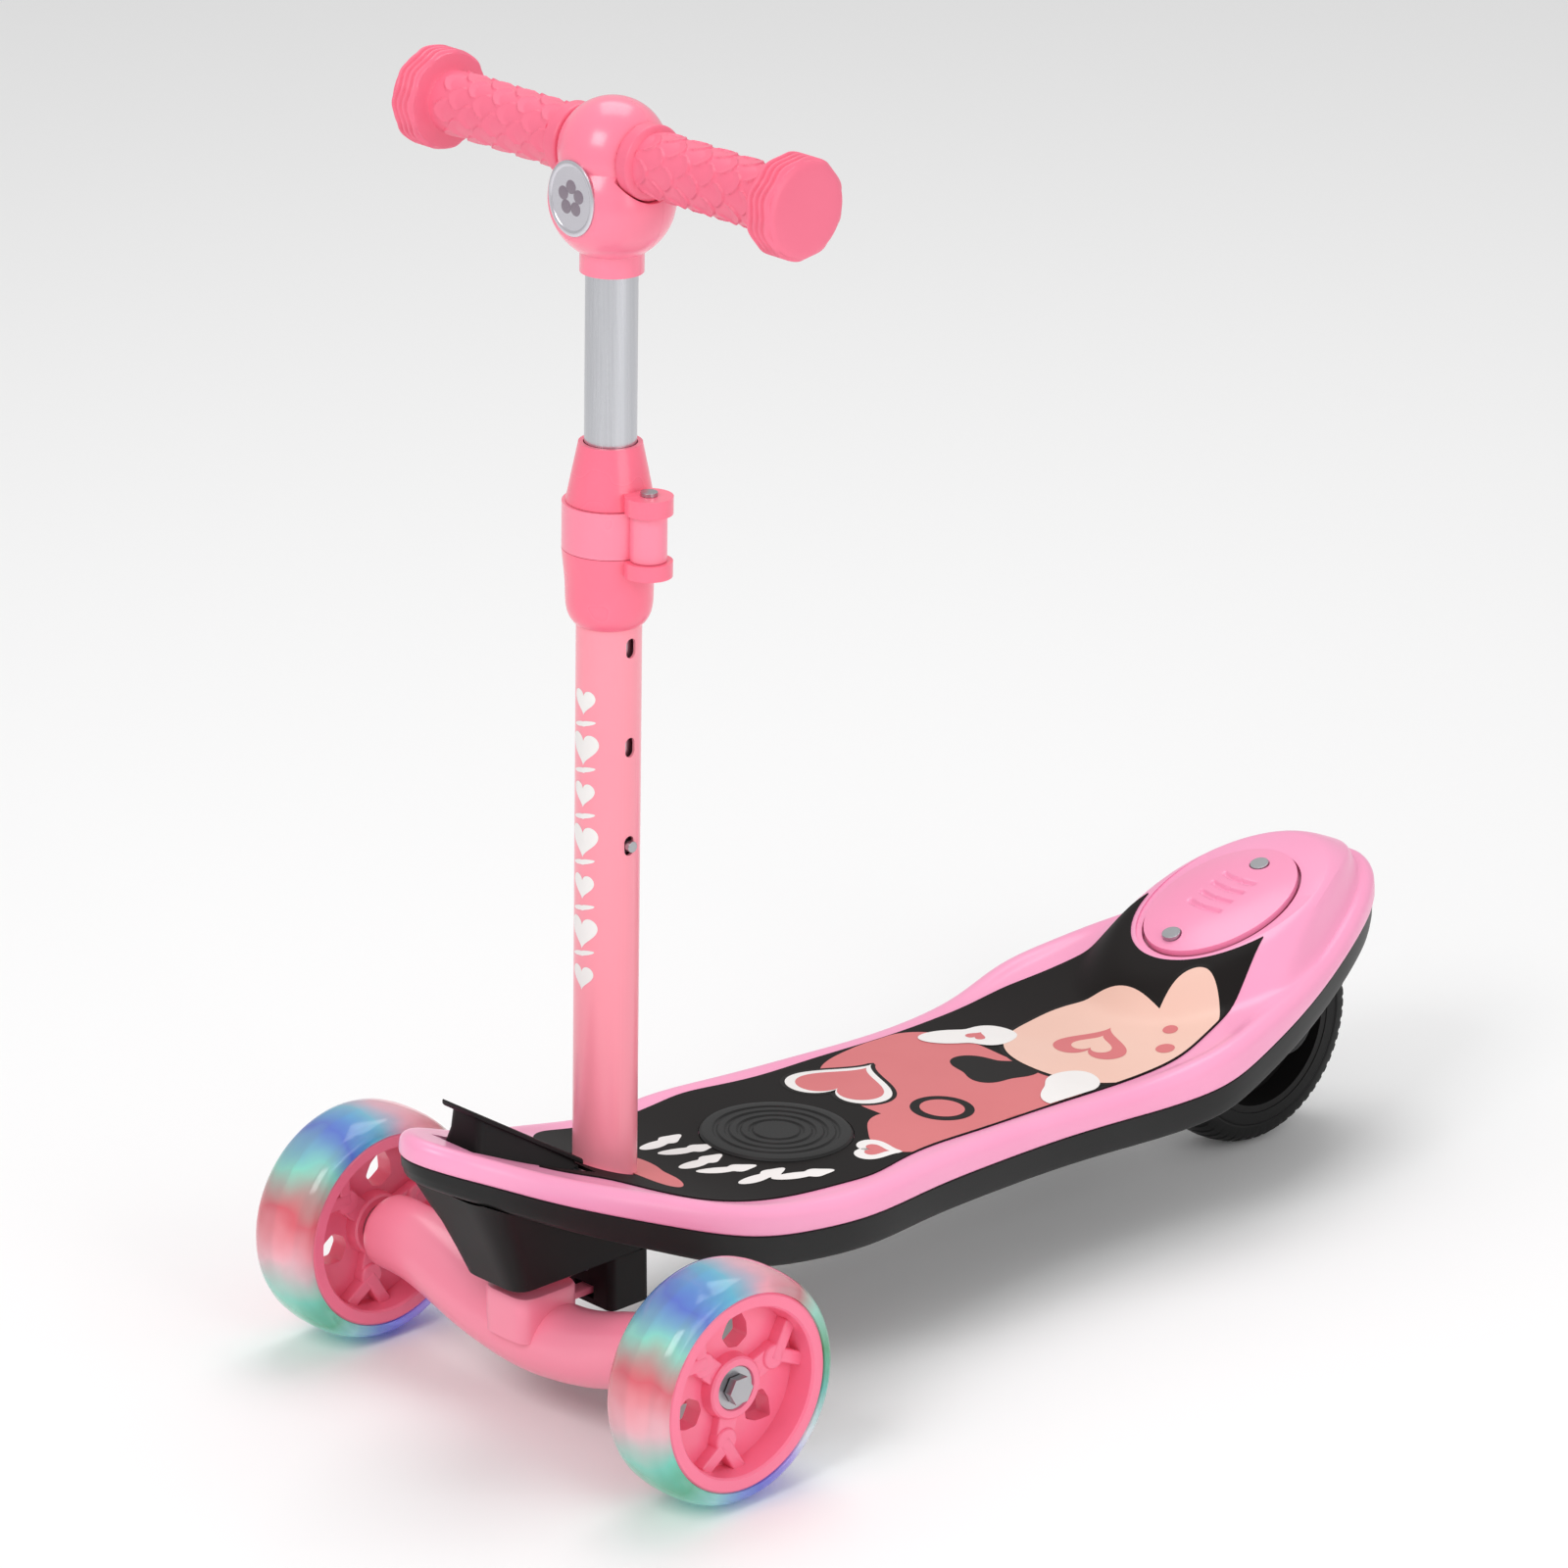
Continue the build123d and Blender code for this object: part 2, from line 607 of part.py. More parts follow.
# ---------------------------------------------------------------- front wheels
# Clear tyre over a lit ring, spoked hub and two bearings on each axle bolt.
bearing_span = 11.0  # middle of the wheel to the outer face of a bearing
for side, sign in (("left", 1), ("right", -1)):
    centre = sign * track / 2
    wheel_plane = Plane(origin=(centre, front_y, front_wheel_r), x_dir=(1, 0, 0), z_dir=(0, -1, 0))
    wheel_axis = Axis((0, front_y, front_wheel_r), (1, 0, 0))
    half = front_tyre_w / 2

    with BuildPart() as front_tyre:
        with BuildSketch(wheel_plane):
            with BuildLine():
                tread = [(-half, 53), (-16, 57.4), (-8, 59.4), (0, front_wheel_r)]
                Spline(*tread, (8, 59.4), (16, 57.4), (half, 53))
                seat = tyre_seat_r + seat_gap
                Polyline(
                    (half, 53),
                    (half, tyre_seat_r + 3),
                    (hub_w / 2, seat),
                    (7.2, seat),
                    (7.2, 49.6),
                    (-7.2, 49.6),
                    (-7.2, seat),
                    (-hub_w / 2, seat),
                    (-half, tyre_seat_r + 3),
                    (-half, 53),
                )
            make_face()
        revolve(axis=wheel_axis)
    front_tyre.part.label = f"front_tyre_{side}"
    export_step(front_tyre.part, f"parts/front_tyre_{side}.step")

    with BuildPart() as light_ring:
        with BuildSketch(wheel_plane):
            with Locations((0, (tyre_seat_r + 0.1 + 49.5) / 2)):
                Rectangle(14, 49.5 - tyre_seat_r - 0.1)
        revolve(axis=wheel_axis)
    light_ring.part.label = f"light_ring_{side}"
    export_step(light_ring.part, f"parts/light_ring_{side}.step")

    with BuildPart() as front_hub:
        with BuildSketch(along_x(front_y, front_wheel_r, centre - hub_w / 2)):
            Circle(tyre_seat_r)
            Circle(tyre_seat_r - 3.5, mode=Mode.SUBTRACT)
        extrude(amount=hub_w)
        with BuildSketch(along_x(front_y, front_wheel_r, centre - 4)):
            Circle(tyre_seat_r - 2)
            with PolarLocations(29, 3):
                Circle(11, mode=Mode.SUBTRACT)
            with PolarLocations(36, 3, start_angle=60):
                Circle(4.5, mode=Mode.SUBTRACT)
        extrude(amount=8)
        with BuildSketch(along_x(front_y, front_wheel_r, centre - bearing_span)):
            Circle(15)
        extrude(amount=2 * bearing_span)
        for start in (-bearing_span, bearing_span - bearing_w):
            with BuildSketch(along_x(front_y, front_wheel_r, centre + start)):
                Circle(bearing_r + seat_gap)
            extrude(amount=bearing_w, mode=Mode.SUBTRACT)
        with BuildSketch(along_x(front_y, front_wheel_r, centre - bearing_span)):
            Circle(7)
        extrude(amount=2 * bearing_span, mode=Mode.SUBTRACT)
    front_hub.part.label = f"front_hub_{side}"
    export_step(front_hub.part, f"parts/front_hub_{side}.step")

    for place, start in (("a", -bearing_span), ("b", bearing_span - bearing_w)):
        with BuildPart() as front_bearing:
            with BuildSketch(along_x(front_y, front_wheel_r, centre + start + seat_gap)):
                Circle(bearing_r)
                Circle(axle_r + running, mode=Mode.SUBTRACT)
            extrude(amount=bearing_w - 2 * seat_gap)
        front_bearing.part.label = f"front_bearing_{side}_{place}"
        export_step(front_bearing.part, f"parts/front_bearing_{side}_{place}.step")

    head_face = centre + sign * (bearing_span + body_gap)
    with BuildPart() as axle_bolt:
        with BuildSketch(along_x(front_y, front_wheel_r, head_face)):
            RegularPolygon(radius=7.5, side_count=6)
        extrude(amount=sign * 4.5)
        with BuildSketch(along_x(front_y, front_wheel_r, head_face + sign * 1)):
            Circle(axle_r)
        extrude(amount=-sign * (abs(head_face) + 1 - spigot_end + 19))
    axle_bolt.part.label = f"axle_bolt_{side}"
    export_step(axle_bolt.part, f"parts/axle_bolt_{side}.step")

# ---------------------------------------------------------------- rear wheel
rear_plane = Plane(origin=(0, rear_y, rear_wheel_r), x_dir=(1, 0, 0), z_dir=(0, -1, 0))
rear_axis = Axis((0, rear_y, rear_wheel_r), (1, 0, 0))
rear_half = rear_tyre_w / 2
rear_bearing_face = 17.0
with BuildPart() as rear_tyre:
    with BuildSketch(rear_plane):
        with BuildLine():
            tread = [(-rear_half, 55), (-16.5, 60), (-10, 63.9), (0, rear_wheel_r)]
            Spline(*tread, (10, 63.9), (16.5, 60), (rear_half, 55))
            seat = 46 + seat_gap
            Polyline((rear_half, 55), (rear_half, seat), (-rear_half, seat), (-rear_half, 55))
        make_face()
    revolve(axis=rear_axis)
rear_tyre.part.label = "rear_tyre"
export_step(rear_tyre.part, "parts/rear_tyre.step")

with BuildPart() as rear_hub:
    with BuildSketch(along_x(rear_y, rear_wheel_r, -rear_half + 0.5)):
        Circle(46)
        Circle(42, mode=Mode.SUBTRACT)
    extrude(amount=rear_tyre_w - 1)
    with BuildSketch(along_x(rear_y, rear_wheel_r, -4)):
        Circle(44)
        with PolarLocations(28, 5):
            Circle(8, mode=Mode.SUBTRACT)
    extrude(amount=8)
    with BuildSketch(along_x(rear_y, rear_wheel_r, -rear_bearing_face)):
        Circle(15)
        Circle(7, mode=Mode.SUBTRACT)
    extrude(amount=2 * rear_bearing_face)
    with BuildSketch(along_x(rear_y, rear_wheel_r, -rear_bearing_face)):
        Circle(7)
    extrude(amount=2 * rear_bearing_face, mode=Mode.SUBTRACT)
    for start in (-rear_bearing_face, rear_bearing_face - bearing_w):
        with BuildSketch(along_x(rear_y, rear_wheel_r, start)):
            Circle(bearing_r + seat_gap)
        extrude(amount=bearing_w, mode=Mode.SUBTRACT)
rear_hub.part.label = "rear_hub"
export_step(rear_hub.part, "parts/rear_hub.step")

for side, start in (("left", rear_bearing_face - bearing_w), ("right", -rear_bearing_face)):
    with BuildPart() as rear_bearing:
        with BuildSketch(along_x(rear_y, rear_wheel_r, start + seat_gap)):
            Circle(bearing_r)
            Circle(axle_r + running, mode=Mode.SUBTRACT)
        extrude(amount=bearing_w - 2 * seat_gap)
    rear_bearing.part.label = f"rear_bearing_{side}"
    export_step(rear_bearing.part, f"parts/rear_bearing_{side}.step")

with BuildPart() as rear_axle:
    with BuildSketch(along_x(rear_y, rear_wheel_r, -fork_outer - seat_gap)):
        RegularPolygon(radius=7.5, side_count=6)
    extrude(amount=-4.5)
    with BuildSketch(along_x(rear_y, rear_wheel_r, -fork_outer - 2)):
        Circle(axle_r)
    extrude(amount=2 * fork_outer + 8)
rear_axle.part.label = "rear_axle"
export_step(rear_axle.part, "parts/rear_axle.step")

with BuildPart() as rear_axle_nut:
    with BuildSketch(along_x(rear_y, rear_wheel_r, fork_outer + seat_gap)):
        RegularPolygon(radius=7.5, side_count=6)
        Circle(axle_r + seat_gap, mode=Mode.SUBTRACT)
    extrude(amount=5)
rear_axle_nut.part.label = "rear_axle_nut"
export_step(rear_axle_nut.part, "parts/rear_axle_nut.step")

# ---------------------------------------------------------------- column tube
# Outer tube with the height slots on the rider's left.
outer_top = 352.0
with BuildPart() as column_tube:
    with BuildSketch(column.offset(-socket_depth)):
        Circle(outer_tube_r)
        Circle(outer_tube_r - outer_tube_wall, mode=Mode.SUBTRACT)
    extrude(amount=outer_top + socket_depth)
    with BuildSketch(column_side):
        with Locations(*[(0, button_level + i * slot_pitch) for i in range(slot_count)]):
            SlotOverall(slot_h, slot_w, rotation=90)
    extrude(amount=30, mode=Mode.SUBTRACT)
    with BuildSketch(latch_plane):
        Circle(latch_r + 2 * running)
    extrude(amount=column_y, mode=Mode.SUBTRACT)
column_tube.part.label = "column_tube"
export_step(column_tube.part, "parts/column_tube.step")

# ---------------------------------------------------------------- clamp
# Collar over the tube joint; its band lever wraps the front and hinges on the rider's left.
clamp_profile = [(16.9, 283), (19.7, 287), (21.4, 300), (23.1, 319), (23.3, 333)]
clamp_profile += [(21.7, 343), (18.3, 360), (15.5, 373.5)]
groove_r = 18.6
knuckle_gap = 0.3
with BuildPart() as clamp_body:
    with BuildSketch(column_face):
        with BuildLine():
            Spline(*clamp_profile)
            Polyline(clamp_profile[-1], (0, 373.5), (0, 283), clamp_profile[0])
        make_face()
    revolve(axis=column_axis)
    for low, high in ((313, band_low - knuckle_gap), (band_high + knuckle_gap, 353)):
        with BuildSketch(column.offset(low)):
            with Locations((knuckle_d, 0)):
                Circle(11.8)
        extrude(amount=high - low)
    with BuildSketch(column.offset(band_low - knuckle_gap)):
        with Locations((0, 3)):
            Rectangle(120, 60, align=(Align.CENTER, Align.MAX))
        Circle(groove_r, mode=Mode.SUBTRACT)
    extrude(amount=band_high - band_low + 2 * knuckle_gap, mode=Mode.SUBTRACT)
    with BuildSketch(column.offset(band_low - knuckle_gap)):
        with Locations((knuckle_d, 0)):
            Circle(knuckle_r + 0.4)
    extrude(amount=band_high - band_low + 2 * knuckle_gap, mode=Mode.SUBTRACT)
    with BuildSketch(column.offset(clamp_low - 1)):
        Circle(outer_tube_r + seat_gap)
    extrude(amount=outer_top + 1 - clamp_low + 1, mode=Mode.SUBTRACT)
    with BuildSketch(column.offset(outer_top)):
        Circle(inner_tube_r + 0.4)
    extrude(amount=40, mode=Mode.SUBTRACT)
    with BuildSketch(column.offset(300)):
        with Locations((knuckle_d, 0)):
            Circle(clamp_pin_r + seat_gap)
    extrude(amount=60, mode=Mode.SUBTRACT)
clamp_body.part.label = "clamp_body"
export_step(clamp_body.part, "parts/clamp_body.step")

with BuildPart() as clamp_pin:
    with BuildSketch(column.offset(311)):
        with Locations((knuckle_d, 0)):
            Circle(clamp_pin_r)
    extrude(amount=44)
    with BuildSketch(column.offset(353 + seat_gap)):
        with Locations((knuckle_d, 0)):
            Circle(4.2)
    extrude(amount=2)
clamp_pin.part.label = "clamp_pin"
export_step(clamp_pin.part, "parts/clamp_pin.step")

with BuildPart() as clamp_lever:
    with BuildSketch(column.offset(band_low)):
        Circle(23.2)
        Circle(groove_r + knuckle_gap, mode=Mode.SUBTRACT)
        with Locations((0, -2)):
            Rectangle(60, 40, align=(Align.CENTER, Align.MIN), mode=Mode.SUBTRACT)
        with Locations((knuckle_d, 0)):
            Circle(knuckle_r)
        Circle(groove_r + knuckle_gap, mode=Mode.SUBTRACT)
        with Locations((knuckle_d, 0)):
            Circle(clamp_pin_r + running, mode=Mode.SUBTRACT)
    extrude(amount=band_high - band_low)
clamp_lever.part.label = "clamp_lever"
export_step(clamp_lever.part, "parts/clamp_lever.step")

# ---------------------------------------------------------------- inner tube
# Slides in the column; carries the head above and the snap button below.
inner_bottom = 118.0
inner_top = 504.0
with BuildPart() as inner_tube:
    with BuildSketch(column.offset(inner_bottom)):
        Circle(inner_tube_r)
        Circle(inner_tube_r - inner_tube_wall, mode=Mode.SUBTRACT)
    extrude(amount=inner_top - inner_bottom)
    with BuildSketch(column_side):
        with Locations((0, button_level)):
            Circle(slot_w / 2 - 0.2 + running)
    extrude(amount=30, mode=Mode.SUBTRACT)
inner_tube.part.label = "inner_tube"
export_step(inner_tube.part, "parts/inner_tube.step")

with BuildPart() as tube_guide:
    with BuildSketch(column.offset(inner_bottom)):
        Circle(outer_tube_r - outer_tube_wall - running)
        Circle(inner_tube_r + seat_gap, mode=Mode.SUBTRACT)
    extrude(amount=30)
tube_guide.part.label = "tube_guide"
export_step(tube_guide.part, "parts/tube_guide.step")

with BuildPart() as snap_button:
    with BuildSketch(column_side.offset(9)):
        with Locations((0, button_level)):
            Circle(slot_w / 2 - 0.2)
    extrude(amount=outer_tube_r + button_out - 9)
    with BuildSketch(column_side.offset(8)):
        with Locations((0, button_level)):
            Circle(4.2)
    extrude(amount=1.5)
snap_button.part.label = "snap_button"
export_step(snap_button.part, "parts/snap_button.step")

with BuildPart() as button_spring:
    with BuildSketch(column_face):
        with BuildLine():
            Polyline(
                (7.9, button_level + 5),
                (-2, button_level - 33),
                (-10.9, button_level + 5),
                (-10.1, button_level + 5),
                (-2, button_level - 29.5),
                (7.1, button_level + 5),
                close=True,
            )
        make_face()
    extrude(amount=3, both=True)
button_spring.part.label = "button_spring"
export_step(button_spring.part, "parts/button_spring.step")

# ---------------------------------------------------------------- handlebar
with BuildPart() as handlebar_tube:
    with BuildSketch(along_x(bar_origin.Y, bar_origin.Z, -bar_length / 2 + 10)):
        Circle(bar_r)
        Circle(bar_r - 1.5, mode=Mode.SUBTRACT)
    extrude(amount=bar_length - 20)
handlebar_tube.part.label = "handlebar_tube"
export_step(handlebar_tube.part, "parts/handlebar_tube.step")

grip_start = 21.0
for side, sign in (("left", 1), ("right", -1)):
    grip_plane = Plane(origin=bar_origin, x_dir=(sign, 0, 0), z_dir=(0, -sign, 0))
    end = bar_length / 2
    cap = end - grip_end_w
    with BuildPart() as grip:
        with BuildSketch(grip_plane):
            with BuildLine():
                Polyline(
                    (grip_start, bar_r + seat_gap),
                    (grip_start, grip_flange_r - 1),
                    (grip_start + 1, grip_flange_r),
                    (grip_start + 6, grip_flange_r),
                    (grip_start + 7.5, grip_r),
                    (cap - 1, grip_r),
                    (cap, grip_end_r - 3),
                    (cap + 3, grip_end_r),
                    (end - 3, grip_end_r),
                    (end, grip_end_r - 3),
                    (end, 0),
                    (end - 9.5, 0),
                    (end - 9.5, bar_r + seat_gap),
                    close=True,
                )
            make_face()
        revolve(axis=Axis(bar_origin, (1, 0, 0)))
    grip.part.label = f"grip_{side}"
    export_step(grip.part, f"parts/grip_{side}.step")

# ---------------------------------------------------------------- head
# Two shells clasp the handlebar and the inner tube; a badge covers the front.
badge_front = 26.9
badge_t = 1.5
badge_level = 498.0
badge_half_w = 16.0
badge_half_h = 18.5
head_screw_x = 20.5
head_screw_level = 488.0
with BuildPart() as head_solid:
    with Locations(ball_origin):
        Sphere(ball_r)
    with Locations(bar_origin):
        Sphere(head_r)
    with BuildSketch(column.offset(458)):
        Circle(neck_r)
    extrude(amount=neck_h + 12)
    with BuildSketch(column.offset(450)):
        Circle(inner_tube_r + seat_gap)
    extrude(amount=inner_top + 0.2 - 450, mode=Mode.SUBTRACT)
    with BuildSketch(along_x(bar_origin.Y, bar_origin.Z, -40)):
        Circle(bar_r + seat_gap)
    extrude(amount=80, mode=Mode.SUBTRACT)
    for start in (-60, 20.5):
        with BuildSketch(along_x(bar_origin.Y, bar_origin.Z, start)):
            Circle(grip_flange_r + 0.7)
        extrude(amount=39.5, mode=Mode.SUBTRACT)
    with BuildSketch(column_face.offset(badge_front - badge_t)):
        with Locations((0, 500)):
            Rectangle(80, 120)
    extrude(amount=20, mode=Mode.SUBTRACT)
    with BuildSketch(column_face.offset(10)):
        with Locations((head_screw_x, head_screw_level), (-head_screw_x, head_screw_level)):
            Circle(1.5 + seat_gap)
    extrude(amount=-60, mode=Mode.SUBTRACT)
    with BuildSketch(column_face.offset(-15)):
        with Locations((head_screw_x, head_screw_level), (-head_screw_x, head_screw_level)):
            Circle(3.4)
    extrude(amount=-20, mode=Mode.SUBTRACT)

with BuildPart() as head_front:
    add(head_solid.part)
    with BuildSketch(column_face.offset(-split_back)):
        with Locations((0, 500)):
            Rectangle(100, 140)
    extrude(amount=-60, mode=Mode.SUBTRACT)
head_front.part.label = "head_front"
export_step(head_front.part, "parts/head_front.step")

with BuildPart() as head_rear:
    add(head_solid.part)
    with BuildSketch(column_face.offset(-split_back - seat_gap)):
        with Locations((0, 500)):
            Rectangle(100, 140)
    extrude(amount=60, mode=Mode.SUBTRACT)
head_rear.part.label = "head_rear"
export_step(head_rear.part, "parts/head_rear.step")

with BuildPart() as badge:
    with BuildSketch(column_face.offset(badge_front - badge_t + seat_gap)):
        with Locations((0, badge_level)):
            Ellipse(badge_half_w, badge_half_h)
    extrude(amount=badge_t)
badge.part.label = "badge"
export_step(badge.part, "parts/badge.step")

for side, sign in (("left", 1), ("right", -1)):
    with BuildPart() as head_screw:
        with BuildSketch(column_face.offset(-15 - seat_gap)):
            with Locations((sign * head_screw_x, head_screw_level)):
                Circle(3)
        extrude(amount=-2.5)
        with BuildSketch(column_face.offset(-16)):
            with Locations((sign * head_screw_x, head_screw_level)):
                Circle(1.5)
        extrude(amount=25)
    head_screw.part.label = f"head_screw_{side}"
    export_step(head_screw.part, f"parts/head_screw_{side}.step")

# ---------------------------------------------------------------- release lever
# Sloping lever in front of the column; pressing it draws the latch pin out of the column.
with BuildPart() as release_lever:
    with BuildSketch(Plane.YZ.offset(-lever_half)):
        with BuildLine():
            Polyline(
                (front_y - 51, 178),
                (front_y + 23, 130),
                (front_y + 22, 127.6),
                (front_y + 19, 124.5),
                (front_y + 13, 124.5),
                (front_y + 2, 132.5),
                (front_y - 24, 143.5),
                (front_y - 46, 155),
                (front_y - 50, 172),
                close=True,
            )
        make_face()
    extrude(amount=2 * lever_half)
    with BuildSketch(Plane.YZ.offset(-lever_half + lever_t)):
        with BuildLine():
            Polyline(
                (front_y - 46, 171),
                (front_y + 8, 136),
                (front_y + 8, 120),
                (front_y - 43, 120),
                close=True,
            )
        make_face()
    extrude(amount=2 * (lever_half - lever_t), mode=Mode.SUBTRACT)
    with BuildSketch(along_x(front_y + lever_pin_y, lever_pin_z, -lever_half)):
        Circle(lever_pin_r + running)
    extrude(amount=2 * lever_half, mode=Mode.SUBTRACT)
release_lever.part.label = "release_lever"
export_step(release_lever.part, "parts/release_lever.step")

with BuildPart() as lever_pivot:
    with BuildSketch(along_x(front_y + lever_pin_y, lever_pin_z, -lever_half - 5)):
        Circle(lever_pin_r)
    extrude(amount=2 * lever_half + 10)
lever_pivot.part.label = "lever_pivot"
export_step(lever_pivot.part, "parts/lever_pivot.step")

with BuildPart() as latch_pin:
    with BuildSketch(latch_plane.offset(9)):
        Circle(latch_r)
    extrude(amount=21.5)
    with BuildSketch(latch_plane.offset(7)):
        Circle(latch_r - 0.2)
    extrude(amount=3)
latch_pin.part.label = "latch_pin"
export_step(latch_pin.part, "parts/latch_pin.step")

# ---------------------------------------------------------------- brake
# Oval pedal in the tail's tub; two screws guide it and its shoe meets the rear tyre.
with BuildPart() as brake_pedal:
    with BuildSketch(tail_plane.offset(-deck_wall)):
        Ellipse(pedal_a, pedal_b)
    extrude(amount=deck_wall + 1)
    with BuildSketch(tail_plane.offset(1)):
        Ellipse(pedal_a, pedal_b)
    with BuildSketch(tail_plane.offset(pedal_crown)):
        Ellipse(pedal_a - 10, pedal_b - 12)
    loft(ruled=True)
    with BuildSketch(tail_plane.offset(-20)):
        with Locations(*[(0, v) for v in pedal_screws]):
            Circle(pedal_screw_r + seat_gap)
    extrude(amount=40, mode=Mode.SUBTRACT)
    with BuildSketch(tail_plane.offset(1.5)):
        with Locations(*[(0, v) for v in pedal_screws]):
            Circle(5.4)
    extrude(amount=20, mode=Mode.SUBTRACT)
brake_pedal.part.label = "brake_pedal"
export_step(brake_pedal.part, "parts/brake_pedal.step")

with BuildPart() as brake_shoe:
    with BuildSketch(tail_plane.offset(-deck_wall - seat_gap)):
        Rectangle(28, 44)
    extrude(amount=-10)
    with BuildSketch(along_x(rear_y, rear_wheel_r, -30)):
        Circle(rear_wheel_r + shoe_clear)
    extrude(amount=60, mode=Mode.SUBTRACT)
brake_shoe.part.label = "brake_shoe"
export_step(brake_shoe.part, "parts/brake_shoe.step")

for place, v in (("front", pedal_screws[0]), ("rear", pedal_screws[1])):
    with BuildPart() as brake_screw:
        with BuildSketch(tail_plane.offset(1.5 + seat_gap)):
            with Locations((0, v)):
                Circle(5)
        extrude(amount=2.5)
        with BuildSketch(tail_plane.offset(2)):
            with Locations((0, v)):
                Circle(pedal_screw_r)
        extrude(amount=-14.5)
        with BuildSketch(tail_plane.offset(-tub_depth - seat_gap)):
            with Locations((0, v)):
                Circle(3.5)
        extrude(amount=-2)
    brake_screw.part.label = f"brake_screw_{place}"
    export_step(brake_screw.part, f"parts/brake_screw_{place}.step")

    with BuildPart() as brake_spring:
        with BuildSketch(tail_plane.offset(-deck_wall - seat_gap)):
            with Locations((0, v)):
                Circle(3.6)
                Circle(2.6, mode=Mode.SUBTRACT)
        extrude(amount=-(tub_depth - 2 * deck_wall - 2 * seat_gap))
    brake_spring.part.label = f"brake_spring_{place}"
    export_step(brake_spring.part, f"parts/brake_spring_{place}.step")

# ---------------------------------------------------------------- deck plug
# Lift-off cover in the middle of the mat.
with BuildPart() as deck_plug:
    with BuildSketch(plug_plane.offset(-plug_sunk + seat_gap)):
        Circle(plug_r)
    extrude(amount=plug_t)
    chamfer(deck_plug.faces().sort_by(Axis(plug_plane.origin, plug_plane.z_dir))[-1].edges(), 1.5)
    with BuildSketch(plug_plane.offset(-plug_sunk + 1)):
        Circle(plug_hole_r - running)
        Circle(plug_hole_r - 3, mode=Mode.SUBTRACT)
    extrude(amount=-8)
deck_plug.part.label = "deck_plug"
export_step(deck_plug.part, "parts/deck_plug.step")
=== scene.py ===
import json

import bmesh
import bpy
import numpy as np
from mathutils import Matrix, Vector


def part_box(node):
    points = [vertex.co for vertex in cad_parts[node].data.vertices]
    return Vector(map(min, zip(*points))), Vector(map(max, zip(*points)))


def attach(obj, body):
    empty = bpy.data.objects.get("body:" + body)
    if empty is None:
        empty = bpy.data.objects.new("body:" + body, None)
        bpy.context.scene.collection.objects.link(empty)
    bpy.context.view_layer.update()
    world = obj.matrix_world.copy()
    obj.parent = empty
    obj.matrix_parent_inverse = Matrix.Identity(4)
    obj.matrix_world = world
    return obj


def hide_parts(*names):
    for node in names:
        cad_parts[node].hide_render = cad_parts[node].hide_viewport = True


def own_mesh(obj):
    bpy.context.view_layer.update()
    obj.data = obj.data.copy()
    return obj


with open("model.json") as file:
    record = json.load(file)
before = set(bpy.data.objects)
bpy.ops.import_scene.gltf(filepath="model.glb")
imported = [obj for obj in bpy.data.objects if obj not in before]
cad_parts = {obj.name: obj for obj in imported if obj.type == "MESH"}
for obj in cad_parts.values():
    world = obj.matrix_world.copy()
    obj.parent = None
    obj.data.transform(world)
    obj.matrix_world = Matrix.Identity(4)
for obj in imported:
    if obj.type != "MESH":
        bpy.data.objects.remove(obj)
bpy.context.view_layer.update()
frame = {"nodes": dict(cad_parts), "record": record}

mm = 0.001
body_of = {node: body for body, nodes in frame["record"]["behaviour"]["bodies"].items() for node in nodes}
slot_of = {part["node"]: part["material_slot"] for part in frame["record"]["subparts"]}

# ---------------------------------------------------------------- room, light and camera
# Three soft square lamps light the scooter on white paper, under an even white sky. A long lens
# looks down at it from its front left side.
scene = bpy.context.scene
scene.view_settings.view_transform = "Standard"


def linear(code):
    """sRGB hex colour as linear red, green, blue and 1 for opacity."""
    share = np.array([int(code[i : i + 2], 16) for i in (1, 3, 5)]) / 255
    bent = np.where(share <= 0.04045, share / 12.92, ((share + 0.055) / 1.055) ** 2.4)
    return (*[float(value) for value in bent], 1.0)


def feed(node, inputs):
    """Fills a node's inputs with values, or with links from other nodes."""
    for key, value in inputs.items():
        if isinstance(value, bpy.types.NodeSocket):
            node.id_data.links.new(value, node.inputs[key])
        else:
            node.inputs[key].default_value = value


def new_material(name):
    """Material with its node tree and its shader."""
    material = bpy.data.materials.new(name)
    material.use_nodes = True
    return material, material.node_tree, material.node_tree.nodes["Principled BSDF"]


world = bpy.data.worlds.new("studio")
scene.world = world
world.use_nodes = True
feed(world.node_tree.nodes["Background"], {"Color": (1.0, 1.0, 1.0, 1.0), "Strength": 0.58})


def lamp(name, place, aim, power, side):
    """Square soft lamp at a place, turned to face a point."""
    data = bpy.data.lights.new(name, "AREA")
    data.energy = power
    data.size = side
    lamp_object = bpy.data.objects.new(name, data)
    lamp_object.location = place
    lamp_object.rotation_euler = (Vector(aim) - Vector(place)).to_track_quat("-Z", "Y").to_euler()
    scene.collection.objects.link(lamp_object)


lamp("key_lamp", (0.4, -2.2, 2.2), (0, 0, 0.25), 26, 1.2)
lamp("side_lamp", (2.2, -0.2, 1.1), (0, 0, 0.2), 12, 1.4)
lamp("top_lamp", (-0.6, 0.6, 2.6), (0, 0, 0.2), 20, 1.6)

camera = bpy.data.objects.new("camera", bpy.data.cameras.new("camera"))
camera.data.lens = 183.8
camera.data.sensor_width = 36
camera.location = (2.69783, -2.61273, 1.70148)
camera_aim = Vector((0.0003, -0.087, 0.287))
camera.rotation_euler = (camera_aim - camera.location).to_track_quat("-Z", "Y").to_euler()
scene.collection.objects.link(camera)
scene.camera = camera

